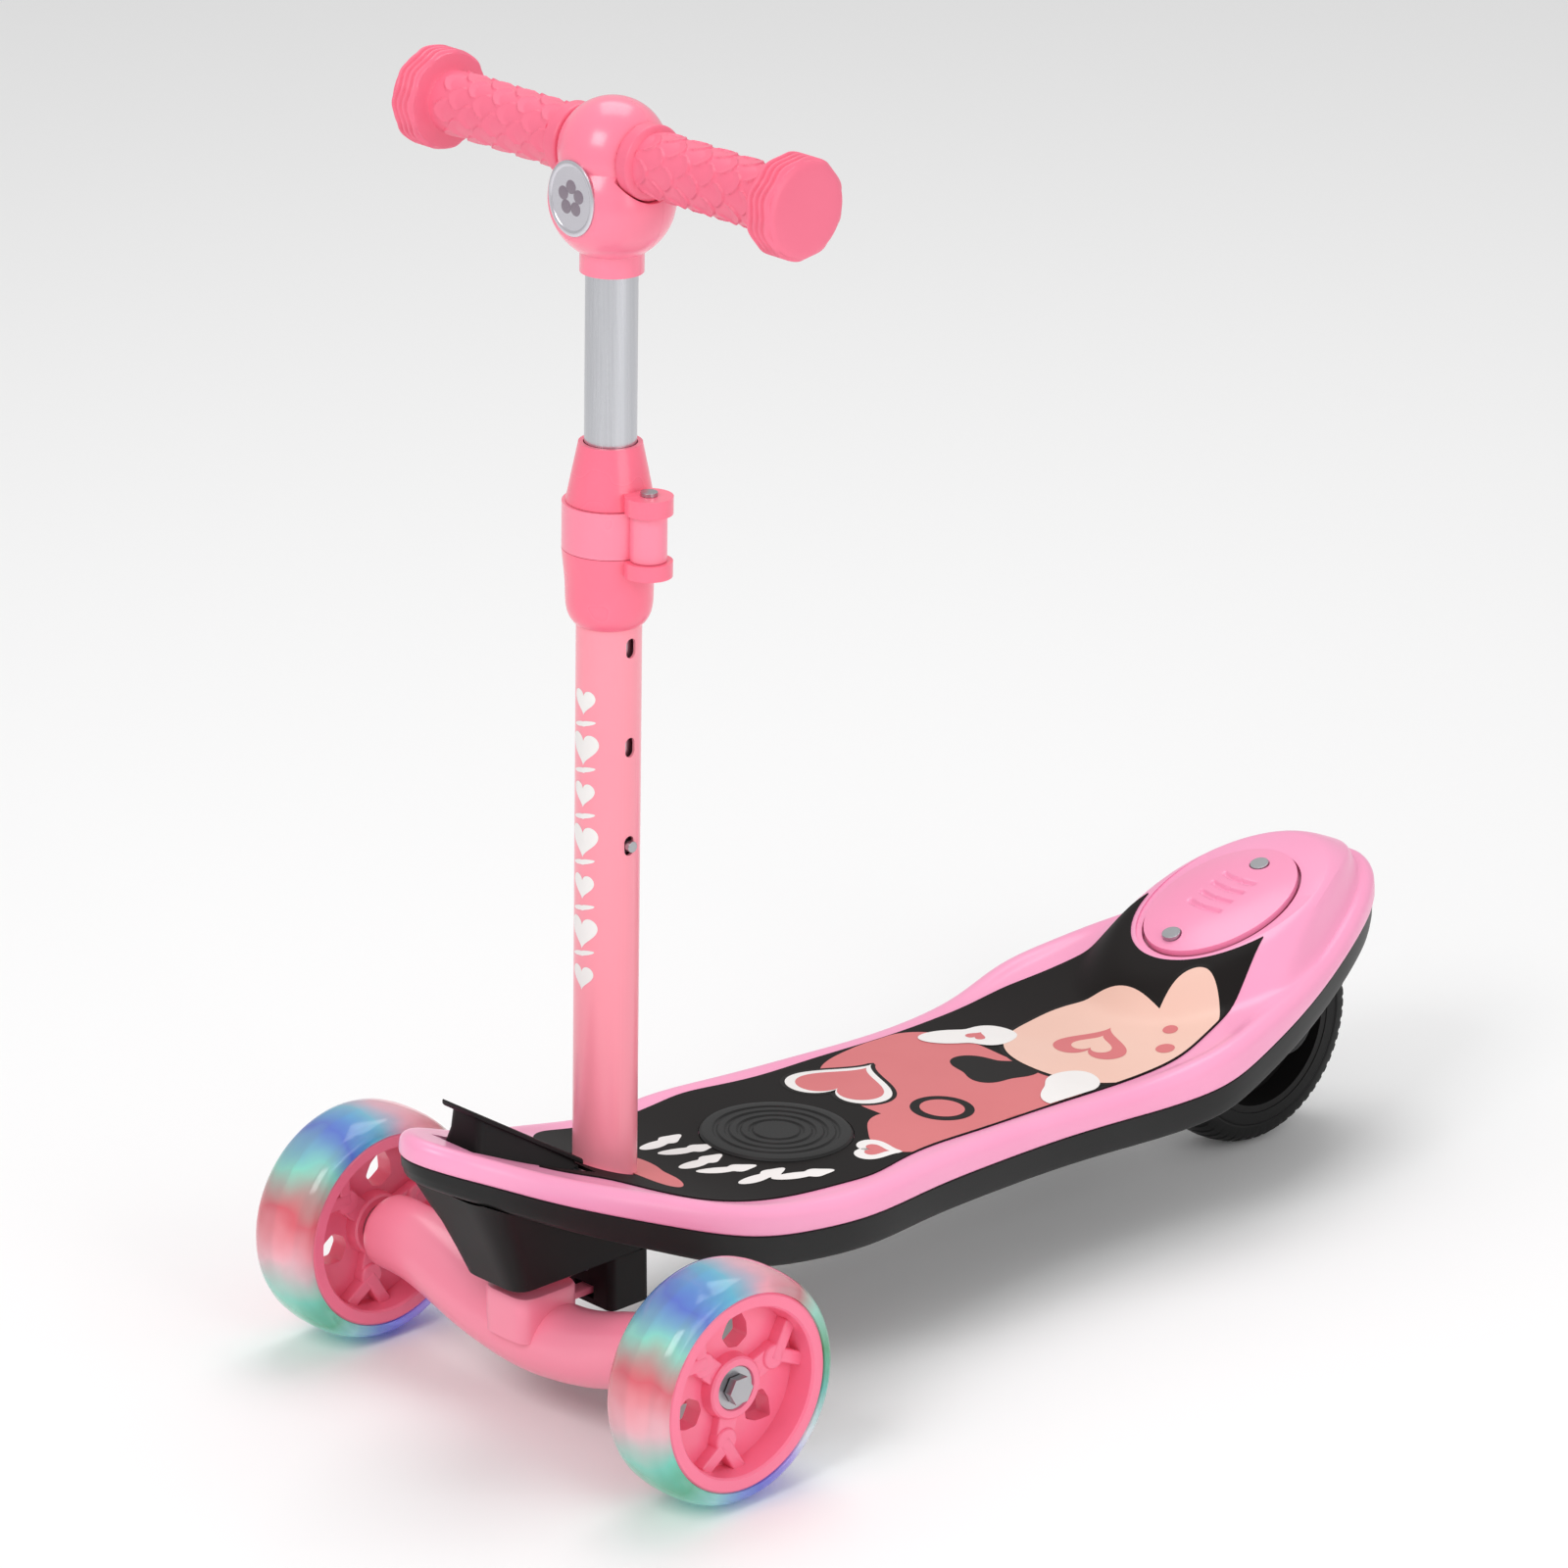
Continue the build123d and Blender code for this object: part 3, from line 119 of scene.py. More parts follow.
floor_mesh = bpy.data.meshes.new("floor")
floor_corners = [(-8, -8, -0.0005), (8, -8, -0.0005), (8, 8, -0.0005), (-8, 8, -0.0005)]
floor_mesh.from_pydata(floor_corners, [], [(0, 1, 2, 3)])
floor = bpy.data.objects.new("floor", floor_mesh)
scene.collection.objects.link(floor)
# Matt white studio paper.
paper, _, shader = new_material("studio_paper")
feed(shader, {"Base Color": linear("#FBFBFB"), "Roughness": 0.9})
floor_mesh.materials.append(paper)

# ---------------------------------------------------------------- small CAD pieces
# Screws, bearings, tubes, pins and springs keep their own shape. Each is a smooth-shaded copy of
# its CAD solid with its edges broken, as a turned, drawn or moulded piece has them.


def finish_piece(piece, body, material, crease=35):
    """Material, smooth shading with creases above an angle, and body of one piece."""
    piece.data.materials.clear()
    piece.data.materials.append(material)
    piece.data.polygons.foreach_set("use_smooth", np.ones(len(piece.data.polygons), bool))
    piece.data.set_sharp_from_angle(angle=np.radians(crease))
    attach(piece, body)


def stand_in(piece, node, material, crease=35):
    """Finishes a piece that takes the place of a CAD node, in that node's body, and hides the node."""
    finish_piece(piece, body_of[node], material, crease)
    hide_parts(node)


def refined(node, material, bevel=0.3, crease=35):
    """Merged copy of a CAD node with bevelled edges, which stands in for that node."""
    mesh = frame["nodes"][node].data.copy()
    work = bmesh.new()
    work.from_mesh(mesh)
    bmesh.ops.remove_doubles(work, verts=work.verts, dist=0.02 * mm)
    bmesh.ops.dissolve_limit(work, angle_limit=np.radians(1.0), verts=work.verts, edges=work.edges)
    work.to_mesh(mesh)
    work.free()
    piece = bpy.data.objects.new(node + "_piece", mesh)
    scene.collection.objects.link(piece)
    stand_in(piece, node, material, crease)
    edge = piece.modifiers.new("broken_edges", "BEVEL")
    edge.width = bevel * mm
    edge.segments = 2
    edge.limit_method = "ANGLE"
    edge.angle_limit = np.radians(40)
    edge.harden_normals = True
    return piece


def add_node(tree, kind, inputs=None, **settings):
    """Adds a node with its settings and its inputs."""
    made = tree.nodes.new(kind)
    for key, value in settings.items():
        setattr(made, key, value)
    feed(made, inputs or {})
    return made


def moulded(name, colour, deep, roughness, grain, relief, coat=0.0, mottle=0.5, specular=0.5):
    """A finish on Object coordinates: two colours blended by soft cloudy noise, a fine grain in
    relief, and roughness that follows the clouds. Grain and relief are in millimetres."""
    material, tree, shader = new_material(name)
    place = add_node(tree, "ShaderNodeTexCoord").outputs["Object"]
    cloud = add_node(tree, "ShaderNodeTexNoise", {"Vector": place, "Scale": 14.0, "Detail": 3.0})
    grit = add_node(tree, "ShaderNodeTexNoise", {"Vector": place, "Scale": 1000.0 / grain, "Detail": 2.0})
    cloudy = {"Value": cloud.outputs["Fac"], "From Min": 0.35, "From Max": 0.65, "To Max": mottle}
    share = add_node(tree, "ShaderNodeMapRange", cloudy)
    inks = {"Factor": share.outputs["Result"], 6: linear(colour), 7: linear(deep)}
    blend = add_node(tree, "ShaderNodeMix", inks, data_type="RGBA")
    sheen = {"Value": cloud.outputs["Fac"], "To Min": roughness - 0.05, "To Max": roughness + 0.05}
    rough = add_node(tree, "ShaderNodeMapRange", sheen)
    fine = {"Height": grit.outputs["Fac"], "Strength": 0.35, "Distance": relief * mm}
    bump = add_node(tree, "ShaderNodeBump", fine)
    looks = {"Base Color": blend.outputs[2], "Roughness": rough.outputs["Result"]}
    feed(shader, looks | {"Normal": bump.outputs["Normal"], "Specular IOR Level": specular})
    feed(shader, {"Coat Weight": coat, "Coat Roughness": 0.2})
    return material


# Zinc-plated steel: bright and slightly cloudy from the plating bath.
zinc = moulded("zinc_plated_steel", "#B9BABD", "#8F9095", 0.3, 0.4, 0.02)
feed(zinc.node_tree.nodes["Principled BSDF"], {"Metallic": 1.0})
# Natural nylon: waxy and off-white.
nylon = moulded("natural_nylon", "#DAD8CE", "#CFCBBD", 0.45, 0.5, 0.03)
# Black rubber: matt, with a fine bloom.
rubber = moulded("black_rubber", "#1B1B1B", "#262626", 0.75, 0.8, 0.08)
# Black glass-filled nylon: near-black with a fine spark-eroded grain.
black_moulding = moulded("black_moulding", "#171616", "#1E1D1C", 0.48, 0.7, 0.06, specular=0.2)

steel_pieces = {node: refined(node, zinc, 0.25) for node, slot in slot_of.items() if slot == "steel"}


def shorten(piece):
    """Gives a spring piece a mesh of its own; the spring is not closed."""
    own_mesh(piece)


for node in ("tube_guide", "kingpin_bush"):
    refined(node, nylon, 0.2)
for node in ("centring_rubber_left", "centring_rubber_right", "brake_shoe"):
    refined(node, rubber, 0.5)
refined("pivot_bracket", black_moulding, 1.0)
for node in ("brake_spring_front", "brake_spring_rear"):
    shorten(steel_pieces[node])
shorten(steel_pieces["button_spring"])

# ---------------------------------------------------------------- deck top shell
# The deck is a pale pink polypropylene moulding: a rounded rim runs round the mat, the nose and the
# tail kick up, and the tail rises to a hump over the rear wheel. It is screwed to the tray below.


def mesh_piece(name, patches):
    """One mesh from grids of points, whose neighbouring points make four-sided faces. A bare grid's
    rows close on themselves; other grids are given as (grid, first and last row meet, rows close)."""
    points, faces, offset = [], [], 0
    for patch in patches:
        grid, rows_meet, columns_meet = patch if isinstance(patch, tuple) else (patch, False, True)
        grid = np.asarray(grid, float)
        rows, columns = grid.shape[:2]
        index = np.arange(rows * columns).reshape(rows, columns) + offset
        if rows_meet:
            index = np.vstack([index, index[:1]])
        if columns_meet:
            index = np.hstack([index, index[:, :1]])
        corners = [index[:-1, :-1], index[:-1, 1:], index[1:, 1:], index[1:, :-1]]
        faces.append(np.stack(corners, -1).reshape(-1, 4))
        points.append(grid.reshape(-1, 3))
        offset += rows * columns
    mesh = bpy.data.meshes.new(name)
    mesh.from_pydata(np.vstack(points).tolist(), [], np.vstack(faces).tolist())
    work = bmesh.new()
    work.from_mesh(mesh)
    bmesh.ops.remove_doubles(work, verts=work.verts, dist=0.01 * mm)
    bmesh.ops.recalc_face_normals(work, faces=work.faces)
    work.to_mesh(mesh)
    work.free()
    piece = bpy.data.objects.new(name, mesh)
    scene.collection.objects.link(piece)
    return piece


def carved(piece, cutters):
    """Takes the cutters' solids out of a piece, and removes them."""
    for cutter in cutters:
        cut = piece.modifiers.new("cut", "BOOLEAN")
        cut.operation = "DIFFERENCE"
        cut.solver = "EXACT"
        cut.object = cutter
    bpy.context.view_layer.update()
    shaped = bpy.data.meshes.new_from_object(piece.evaluated_get(bpy.context.evaluated_depsgraph_get()))
    piece.modifiers.clear()
    piece.data = shaped
    for cutter in cutters:
        bpy.data.objects.remove(cutter)
    return piece


def raised(rings):
    """Grid of flat loops, each given with its height."""
    return np.array([np.column_stack([loop, np.full(len(loop), level)]) for loop, level in rings])


def capped(rings):
    """Grid of rings, closed at both ends by the middle of its first and last ring."""
    ends = [np.repeat(ring.mean(0)[None], len(ring), 0) for ring in (rings[0], rings[-1])]
    return np.concatenate([ends[:1], rings, ends[1:]])


def upright(grid):
    """Points given as (across, back, up) from the scooter's own origin."""
    return grid


def prism(loop, low, high, to_space=upright):
    """Cutter: solid over a flat closed loop, between two heights in millimetres."""
    grid = capped(raised([(loop, low * mm), (loop, high * mm)]))
    return mesh_piece("cutter", [to_space(grid)])


def oval(half_width, half_length, count=96, power=2.0):
    """Closed superellipse loop: |x/a|^n + |y/b|^n = 1."""
    turn = np.linspace(0, 2 * np.pi, count, endpoint=False)
    wide = np.sign(np.cos(turn)) * np.abs(np.cos(turn)) ** (2 / power)
    long = np.sign(np.sin(turn)) * np.abs(np.sin(turn)) ** (2 / power)
    return np.column_stack([half_width * wide, half_length * long])


def circle(radius, count=96):
    """Closed round loop of a radius in millimetres."""
    return oval(radius * mm, radius * mm, count)


def drill(radius, low, high, to_space, count=96):
    """Cutter: a round bar of a radius between two heights, in millimetres."""
    return prism(circle(radius, count), low, high, to_space)


def through(knots, values, at):
    """Natural cubic through points: every span is a cubic whose slope and bend run on into the
    next."""
    knots, values, at = np.asarray(knots, float), np.asarray(values, float), np.asarray(at, float)
    step = np.diff(knots)
    slope = np.diff(values) / step
    count = len(knots)
    inner = np.arange(1, count - 1)
    rows = np.zeros((count, count))
    rows[0, 0] = rows[-1, -1] = 1
    rows[inner, inner - 1] = step[:-1]
    rows[inner, inner] = 2 * (step[:-1] + step[1:])
    rows[inner, inner + 1] = step[1:]
    bend = np.linalg.solve(rows, np.concatenate([[0], 3 * np.diff(slope), [0]]))
    span = np.clip(np.searchsorted(knots, at) - 1, 0, count - 2)
    along = at - knots[span]
    first = slope[span] - step[span] * (2 * bend[span] + bend[span + 1]) / 3
    third = (bend[span + 1] - bend[span]) / (3 * step[span])
    return values[span] + first * along + bend[span] * along**2 + third * along**3


def middle_of(node):
    """Middle of a CAD node's box at rest."""
    low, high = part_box(node)
    return [(first + second) / 2 for first, second in zip(low, high)]


front_y, front_z = middle_of("front_tyre_left")[1:]
rear_y, rear_z = middle_of("rear_tyre")[1:]

# Half-widths of the deck, and heights of the seam between its shells, behind the front axle.
deck_half = [
    (0, -79.8), (17, -73.5), (30, -59), (39, -40), (48.5, -10), (63.3, 30), (76.5, 70), (81.5, 110),
    (85.2, 145), (80.5, 190), (76.2, 240), (75, 290), (77.8, 335), (82.3, 370), (85.8, 400),
    (82, 430), (75.5, 460), (63, 500), (47, 540), (33, 563), (17, 578.2), (0, 583.4),
]
seam_points = [
    (-80, 156), (-60, 148), (-30, 134), (0, 121), (30, 109.5), (60, 99), (90, 91.5), (115, 88.3),
    (150, 87), (250, 83.6), (330, 81), (370, 81), (400, 84.4), (430, 90.6), (460, 98), (500, 108),
    (540, 119.6), (580, 126.7),
]
rim_points = [
    (-80, 13.5), (0, 14), (40, 15), (100, 14), (250, 14), (350, 14.5), (400, 18), (450, 15),
    (500, 11.5), (540, 13), (583, 16.5),
]


def seam_level(y):
    """Height of the seam between the shells at a distance along the deck."""
    return through(*np.array(seam_points).T * mm, y - front_y)


def rim_level(y):
    """Height of the rim above the seam."""
    return through(*np.array(rim_points).T * mm, y - front_y)


def deck_loop(count=200):
    """Closed plan outline: half of it by natural cubics over the distance run, then its mirror
    image."""
    half = np.array([(-17, -73.5)] + deck_half + [(-17, 578.2)]) * mm
    run = np.concatenate([[0], np.cumsum(np.linalg.norm(np.diff(half, axis=0), axis=1))])
    at = np.linspace(run[1], run[-2], count)
    x, y = through(run, half[:, 0], at), through(run, half[:, 1], at) + front_y
    x[0] = x[-1] = 0
    return np.column_stack([np.concatenate([x, -x[-2:0:-1]]), np.concatenate([y, y[-2:0:-1]])])


def inward_of(loop):
    """Unit steps square to a loop that runs anticlockwise, towards its inside."""
    tangent = np.roll(loop, -1, 0) - np.roll(loop, 1, 0)
    return np.column_stack([-tangent[:, 1], tangent[:, 0]]) / np.linalg.norm(tangent, axis=1)[:, None]


def leaned(degrees):
    """Axes whose third, the upright, leans back by an angle."""
    sine, cosine = np.sin(np.radians(degrees)), np.cos(np.radians(degrees))
    return np.array([[1, 0, 0], [0, cosine, -sine], [0, sine, cosine]])


tail_slope = np.radians(17.9)
tail_origin = np.array([0, rear_y - 19 * mm, 139 * mm])
tail_frame = leaned(-17.9)


def on_tail(grid):
    """Points given as (across, up the slope, off the slope) in the tail's own plane."""
    return tail_origin + grid @ tail_frame


deck_widths = np.array(deck_half)


def top_level(x, y):
    """Top surface: seam plus rim height, raised at its edges as the rim is, and blended by a soft
    maximum with a flat-topped cone on the tail's slope."""
    widths, knots = deck_widths[1:-1].T * mm
    half_width = through(knots, widths, np.clip(y - front_y, -0.073, 0.578))
    edge = np.clip(np.abs(x) / half_width, 0, 1) ** 4
    base = seam_level(y) + 13.6 * mm + (rim_level(y) - 14 * mm) * edge
    up_slope = (y - tail_origin[1]) / np.cos(tail_slope)
    out = np.sqrt((x / (46 * mm)) ** 2 + (up_slope / (72 * mm)) ** 2) - 1
    slope_level = tail_origin[2] + np.tan(tail_slope) * (y - tail_origin[1])
    cone = slope_level - 29 * mm * (out + np.sqrt(out**2 + 0.012))
    return 0.5 * (base + cone + np.sqrt((base - cone) ** 2 + (4 * mm) ** 2)) - 0.35 * mm


def skinned(loop, rows, fill=26):
    """Rings of a deck shell. Each row is (step inwards, height rule of x and y). The first and last
    rings run on in straight lines to the deck's middle line, which closes the shell."""
    inward = inward_of(loop)
    rings = [loop + inward * step * mm for step, rule in rows]
    shares = np.linspace(0, 1, fill + 1)[1:]

    def filled(ring):
        middle = np.column_stack([0 * ring[:, 0], np.clip(ring[:, 1], front_y - 0.035, rear_y + 0.035)])
        return [ring + (middle - ring) * share for share in shares]

    rings = filled(rings[0])[::-1] + rings + filled(rings[-1])
    rules = [rows[0][1]] * fill + [rule for step, rule in rows] + [rows[-1][1]] * fill
    return raised([(ring, rule(*ring.T)) for ring, rule in zip(rings, rules)])


def above_seam(share, drop):
    """Height rule: a share of the rim's height above the seam, less a drop in millimetres."""
    return lambda x, y: seam_level(y) + share * rim_level(y) - drop * mm


def rim_round(turn, radius=7.5):
    """Row of the rim's round shoulder at an angle from level: a quarter circle from the wall to the
    top."""
    angle = np.radians(turn)
    return (0.3 + radius * (1 - np.cos(angle)), above_seam(1, radius * (1 - np.sin(angle))))


def eased(share):
    """Height rule: part of the way from the rim's top to the deck's top surface."""
    return lambda x, y: (1 - share) * (seam_level(y) + rim_level(y) - 0.05 * mm) + share * top_level(x, y)


def to_side(grid):
    """Points given as (back, up, across)."""
    return grid[..., [2, 0, 1]]


def across_tube(y, z, radius, half, count=96):
    """Cutter: a round bar across the scooter, its radius and half-length in millimetres."""
    return prism(circle(radius, count) + (y, z), -half, half, to_side)


column_foot = np.array([0, front_y + 44.3 * mm, 118 * mm])
column_frame = leaned(1.2)


def on_column(grid):
    """Points given as (across, back, up) from the foot of the column."""
    return column_foot + grid @ column_frame


plug_origin = np.array([0, front_y + 160 * mm, 100.7 * mm])
plug_frame = leaned(2.0)


def on_plug(grid):
    """Points given as (across, back, up) from the middle of the plug's seat."""
    return plug_origin + grid @ plug_frame


def box_cutter(x, y, z):
    """Cutter: an upright box between pairs of coordinates in millimetres."""
    loop = np.array([(x[0], y[0]), (x[1], y[0]), (x[1], y[1]), (x[0], y[1])]) * mm
    return prism(loop, *z)


front_mm, rear_mm = front_y / mm, rear_y / mm
top_rows = [(2.5, above_seam(0, -0.1)), (1.0, above_seam(0, -0.1)), (0.3, above_seam(0, -0.8))]
top_rows += [(0.0, above_seam(0, -2.2)), (0.1, above_seam(0.5, 2.0))]
top_rows += [rim_round(turn) for turn in (0, 15, 30, 45, 60, 75)] + [(7.8, above_seam(1, 0.05))]
blends = ((9.0, 0.08), (10.2, 0.25), (11.4, 0.5), (12.6, 0.75), (13.8, 0.92), (15.2, 1.0))
top_rows += [(step, eased(share)) for step, share in blends]
shell_top = mesh_piece("deck_top_moulding", [skinned(deck_loop(), top_rows, 34)])
shell_top = carved(
    shell_top,
    [
        box_cutter((-15.4, 15.4), (front_mm - 54.5, front_mm + 24.5), (60, 240)),
        drill(16.4, -60, 30, on_column),
        drill(39.4, -2.3, 12, on_plug, 160),
        drill(30.05, -40, 12, on_plug, 160),
        prism(oval(42 * mm, 61 * mm, 160) + (0, 8.5 * mm), -2.2, 30, on_tail),
        prism(oval(36.3 * mm, 49.3 * mm, 160), -8, 30, on_tail),
        prism(oval(21 * mm, 26 * mm, 64, 6), -40, 30, on_tail),
        across_tube(rear_y, rear_z, 70, 22),
    ],
)
# Polypropylene moulding: pale pink with a soft satin sheen, a little deeper where it is thick.
shell_pink = moulded("pale_pink_polypropylene", "#FDA6CB", "#FB9CC4", 0.34, 0.6, 0.02, 0.25)
stand_in(shell_top, "deck_top_shell", shell_pink, 28)

# ---------------------------------------------------------------- deck bottom shell
# Charcoal tray that closes the deck from below: it shows as a dark band under the pink rim. Two
# cheeks at its tail carry the axle of the rear wheel.


def band_rule(share, raise_mm=0.0):
    """Height rule: a share of the dark band's height below the seam, raised by some millimetres."""

    def rule(x, y):
        height = 11 * mm + 7 * mm * np.clip((y - front_y + 80 * mm) / (160 * mm), 0, 1)
        return seam_level(y) - share * height + raise_mm * mm

    return rule


band_rows = [(3, band_rule(0, -0.3)), (1.6, band_rule(0, -0.3)), (1.0, band_rule(0, -0.9))]
band_rows += [(1.2, band_rule(0.5)), (1.9, band_rule(1, 4.5)), (2.4, band_rule(1, 2.4))]
band_rows += [(3.6, band_rule(1, 0.9)), (5.4, band_rule(1, 0.15)), (7.5, band_rule(1))]
tray = mesh_piece("deck_tray_moulding", [skinned(deck_loop(), band_rows, 12)])
tray = carved(
    tray,
    [
        box_cutter((-28, 28), (rear_mm - 68, rear_mm + 62), (20, 240)),
        box_cutter((-7, 7), (front_mm + 1, front_mm + 30), (98, 240)),
        drill(19, -60, 30, on_column),
        drill(30.05, -12, 12, on_plug),
    ],
)
# Polypropylene copolymer: charcoal with a fine leathery grain.
charcoal = moulded("charcoal_polypropylene", "#242424", "#2B2B2B", 0.42, 0.9, 0.07, specular=0.2)
stand_in(tray, "deck_bottom_shell", charcoal, 30)


def slab(loop, low, high, rounding, to_space=upright):
    """Flat piece with rounded edges, its heights and rounding in millimetres: the outline steps in
    by a quarter circle at each face, then runs to its middle."""
    inward = inward_of(loop) * rounding * mm
    middle = np.repeat(loop.mean(0)[None], len(loop), 0)
    rings = [(middle, low * mm)]
    for face, turns, way in ((low, (90, 60, 30, 0), 1), (high, (0, 30, 60, 90), -1)):
        for turn in np.radians(turns):
            level = (face + way * rounding * (1 - np.sin(turn))) * mm
            rings.append((loop + inward * (1 - np.cos(turn)), level))
    rings.append((middle, high * mm))
    return to_space(raised(rings))


def rounded_loop(corners, radius, steps=6):
    """Closed loop whose corners are each turned by an arc of points that leans on both sides."""
    corners = np.asarray(corners, float)
    before = np.roll(corners, 1, 0) - corners
    after = np.roll(corners, -1, 0) - corners
    before /= np.linalg.norm(before, axis=1)[:, None]
    after /= np.linalg.norm(after, axis=1)[:, None]
    share = np.linspace(0, 1, steps)[None, :, None]
    start, end = corners + before * radius, corners + after * radius
    arc = (1 - share) ** 2 * start[:, None] + 2 * share * (1 - share) * corners[:, None]
    return (arc + share**2 * end[:, None]).reshape(-1, 2)


cheek_corners = [(-15, 53), (15, 53), (46, 100), (50, 119), (-52, 95), (-46, 76)]
cheek_loop = rounded_loop(np.array(cheek_corners) * mm + (rear_y, 0), 9 * mm)
axle_pad = circle(6.5, 48) + (rear_y, rear_z)
fork_patches = [slab(cheek_loop, low, low + 6.3, 1.6, to_side) for low in (-29.5, 23.2)]
fork_patches += [slab(axle_pad, low, low + 6.2, 0.4, to_side) for low in (-24, 17.8)]
fork = mesh_piece("rear_fork_cheeks", fork_patches)
finish_piece(fork, "deck", charcoal, 30)

# ---------------------------------------------------------------- foot mat
# Thin printed mat set inside the rim. It is matt black, with coral, peach and white shapes laid on
# as inks.
mat_half = [
    (12, -26), (15, -22), (26, 10), (31, 23), (44.6, 37), (53, 48), (60, 70), (64, 105), (68, 141),
    (69.5, 160), (66, 180), (62.5, 200), (61.8, 240), (61.3, 300), (62, 320), (64, 360), (64, 385),
    (60, 405), (50, 445), (40, 474),
]


def mat_width(y):
    """Half-width of the mat at a distance along the deck."""
    return through(np.array(mat_half)[:, 1] * mm, np.array(mat_half)[:, 0] * mm, y - front_y)


def mat_sheet(lift):
    """Grid over the mat, lifted off the deck's top surface: rows run along the deck, columns from
    edge to edge."""
    y = np.linspace(-24, 474, 240) * mm + front_y
    share = np.linspace(-1, 1, 61)
    x = share[None] * mat_width(y)[:, None]
    y = np.repeat(y[:, None], len(share), 1)
    return np.stack([x, y, top_level(x, y) + lift * mm], -1)


def closed_sheet(low, high):
    """Two like grids joined round their edges."""
    rim_low = np.vstack([low[0], low[1:, -1], low[-1, -2::-1], low[-2:0:-1, 0]])
    rim_high = np.vstack([high[0], high[1:, -1], high[-1, -2::-1], high[-2:0:-1, 0]])
    return [(low, False, False), (high, False, False), np.stack([rim_low, rim_high])]


mat_thick, ink_thick = 0.9, 0.012
mat = mesh_piece("foot_mat", closed_sheet(mat_sheet(-1.0), mat_sheet(mat_thick)))
mat = carved(
    mat,
    [
        box_cutter((-19, 19), (front_mm - 60, front_mm + 22), (50, 300)),
        drill(18.2, -50, 50, on_column),
        drill(39.3, -20, 20, on_plug, 160),
        prism(oval(44.5 * mm, 63.5 * mm, 160) + (0, 8.5 * mm), -40, 40, on_tail),
    ],
)
# Screen-printed thermoplastic rubber: matt brown-black with a dry grain.
mat_black = moulded("mat_black_rubber", "#0F0A09", "#171110", 0.62, 0.8, 0.08, specular=0.2)
stand_in(mat, "deck_mat", mat_black, 30)


def in_rings(loop, count):
    """A closed loop and smaller copies of it about its middle, which fill it."""
    middle = loop.mean(0)
    return middle + (loop - middle)[None] * np.linspace(0, 1, count)[:, None, None]


def face_away(piece, inner):
    """Turns the faces of a thin print away from a point that depends on the face's middle."""
    work = bmesh.new()
    work.from_mesh(piece.data)
    for face in work.faces:
        middle = face.calc_center_median()
        if face.normal.dot(middle - inner(middle)) < 0:
            face.normal_flip()
    work.to_mesh(piece.data)
    work.free()


def printed(name, shapes, lift, material):
    """Ink shapes on the mat. Each is a closed loop in millimetres (across, behind the front axle),
    filled in rings, clipped to the mat's width and laid one ink's thickness above the last."""
    patches = []
    for number, loop in enumerate(shapes):
        grid = in_rings(np.asarray(loop, float) * mm + (0, front_y), 16)
        limit = mat_width(grid[..., 1]) - 0.6 * mm
        x, y = np.clip(grid[..., 0], -limit, limit), grid[..., 1]
        level = top_level(x, y) + (mat_thick + lift + ink_thick * number) * mm
        patches.append(np.stack([x, y, level], -1))
    piece = mesh_piece(name, patches)
    face_away(piece, lambda middle: middle - Vector((0, 0, 1)))
    finish_piece(piece, "deck", material, 60)


def swung(loop, degrees):
    """Loop turned about its origin, from its first axis towards its second."""
    sine, cosine = np.sin(np.radians(degrees)), np.cos(np.radians(degrees))
    return loop @ np.array([[cosine, sine], [-sine, cosine]])


def heart(x, y, size, turn, grow=0.0):
    """Heart loop, scaled, grown outwards and turned: x = 16 sin^3 t and
    y = 13 cos t - 5 cos 2t - 2 cos 3t - cos 4t."""
    t = np.linspace(0, 2 * np.pi, 120, endpoint=False)
    tall = 13 * np.cos(t) - 5 * np.cos(2 * t) - 2 * np.cos(3 * t) - np.cos(4 * t)
    loop = np.column_stack([16 * np.sin(t) ** 3, tall])[::-1] * size / 16
    return swung(loop - inward_of(loop) * grow, turn) + (x, y)


def blob(x, y, half_x, half_y, turn=0.0, wobble=0.0, power=2.0):
    """Oval loop, turned, with a three-lobed wobble of its radius."""
    loop = oval(half_x, half_y, 120, power)
    angle = np.arctan2(loop[:, 1], loop[:, 0])
    return swung(loop * (1 + wobble * np.sin(3 * angle))[:, None], turn) + (x, y)


# Inks: coral, peach, white and black, matt, drying slightly unevenly.
coral_ink = moulded("coral_ink", "#DB7679", "#D26C70", 0.5, 0.8, 0.05)
peach_ink = moulded("peach_ink", "#F2C9B9", "#EDBFAE", 0.5, 0.8, 0.05)
white_ink = moulded("white_ink", "#F4F1EF", "#E9E5E3", 0.5, 0.8, 0.05)
black_ink = moulded("black_ink", "#0D0807", "#140E0C", 0.5, 0.8, 0.05, specular=0.2)
pads = [blob(6, 272, 66, 52, 0, 0.05, 3.2), blob(44, 214, 26, 26, 20, 0.1)]
printed("coral_ground", pads + [blob(10, 62, 28, 12, -12, 0.1)], 0.05, coral_ink)
spots = [blob(30, 247, 17, 16), blob(8, 304, 22, 16, 30, 0.2), blob(-26, 68, 9, 7)]
printed("black_marks", [heart(-26, 232, 29, 200, 2.4)] + spots, 0.1, black_ink)
wave_spots = ((-26, 108, 12), (-10, 112, -8), (6, 106, 10), (22, 110, -14), (38, 118, 6), (50, 136, -20))
waves = [blob(x, y, 4.2, 17, turn, 0.22) for x, y, turn in wave_spots]
printed("white_marks", [heart(-26, 232, 29, 200), heart(49, 182, 11, 130, 2.0)] + waves, 0.15, white_ink)
marks = [heart(-26, 232, 24, 200), blob(30, 247, 12, 11), heart(49, 182, 7, 130)]
printed("coral_marks", marks, 0.2, coral_ink)
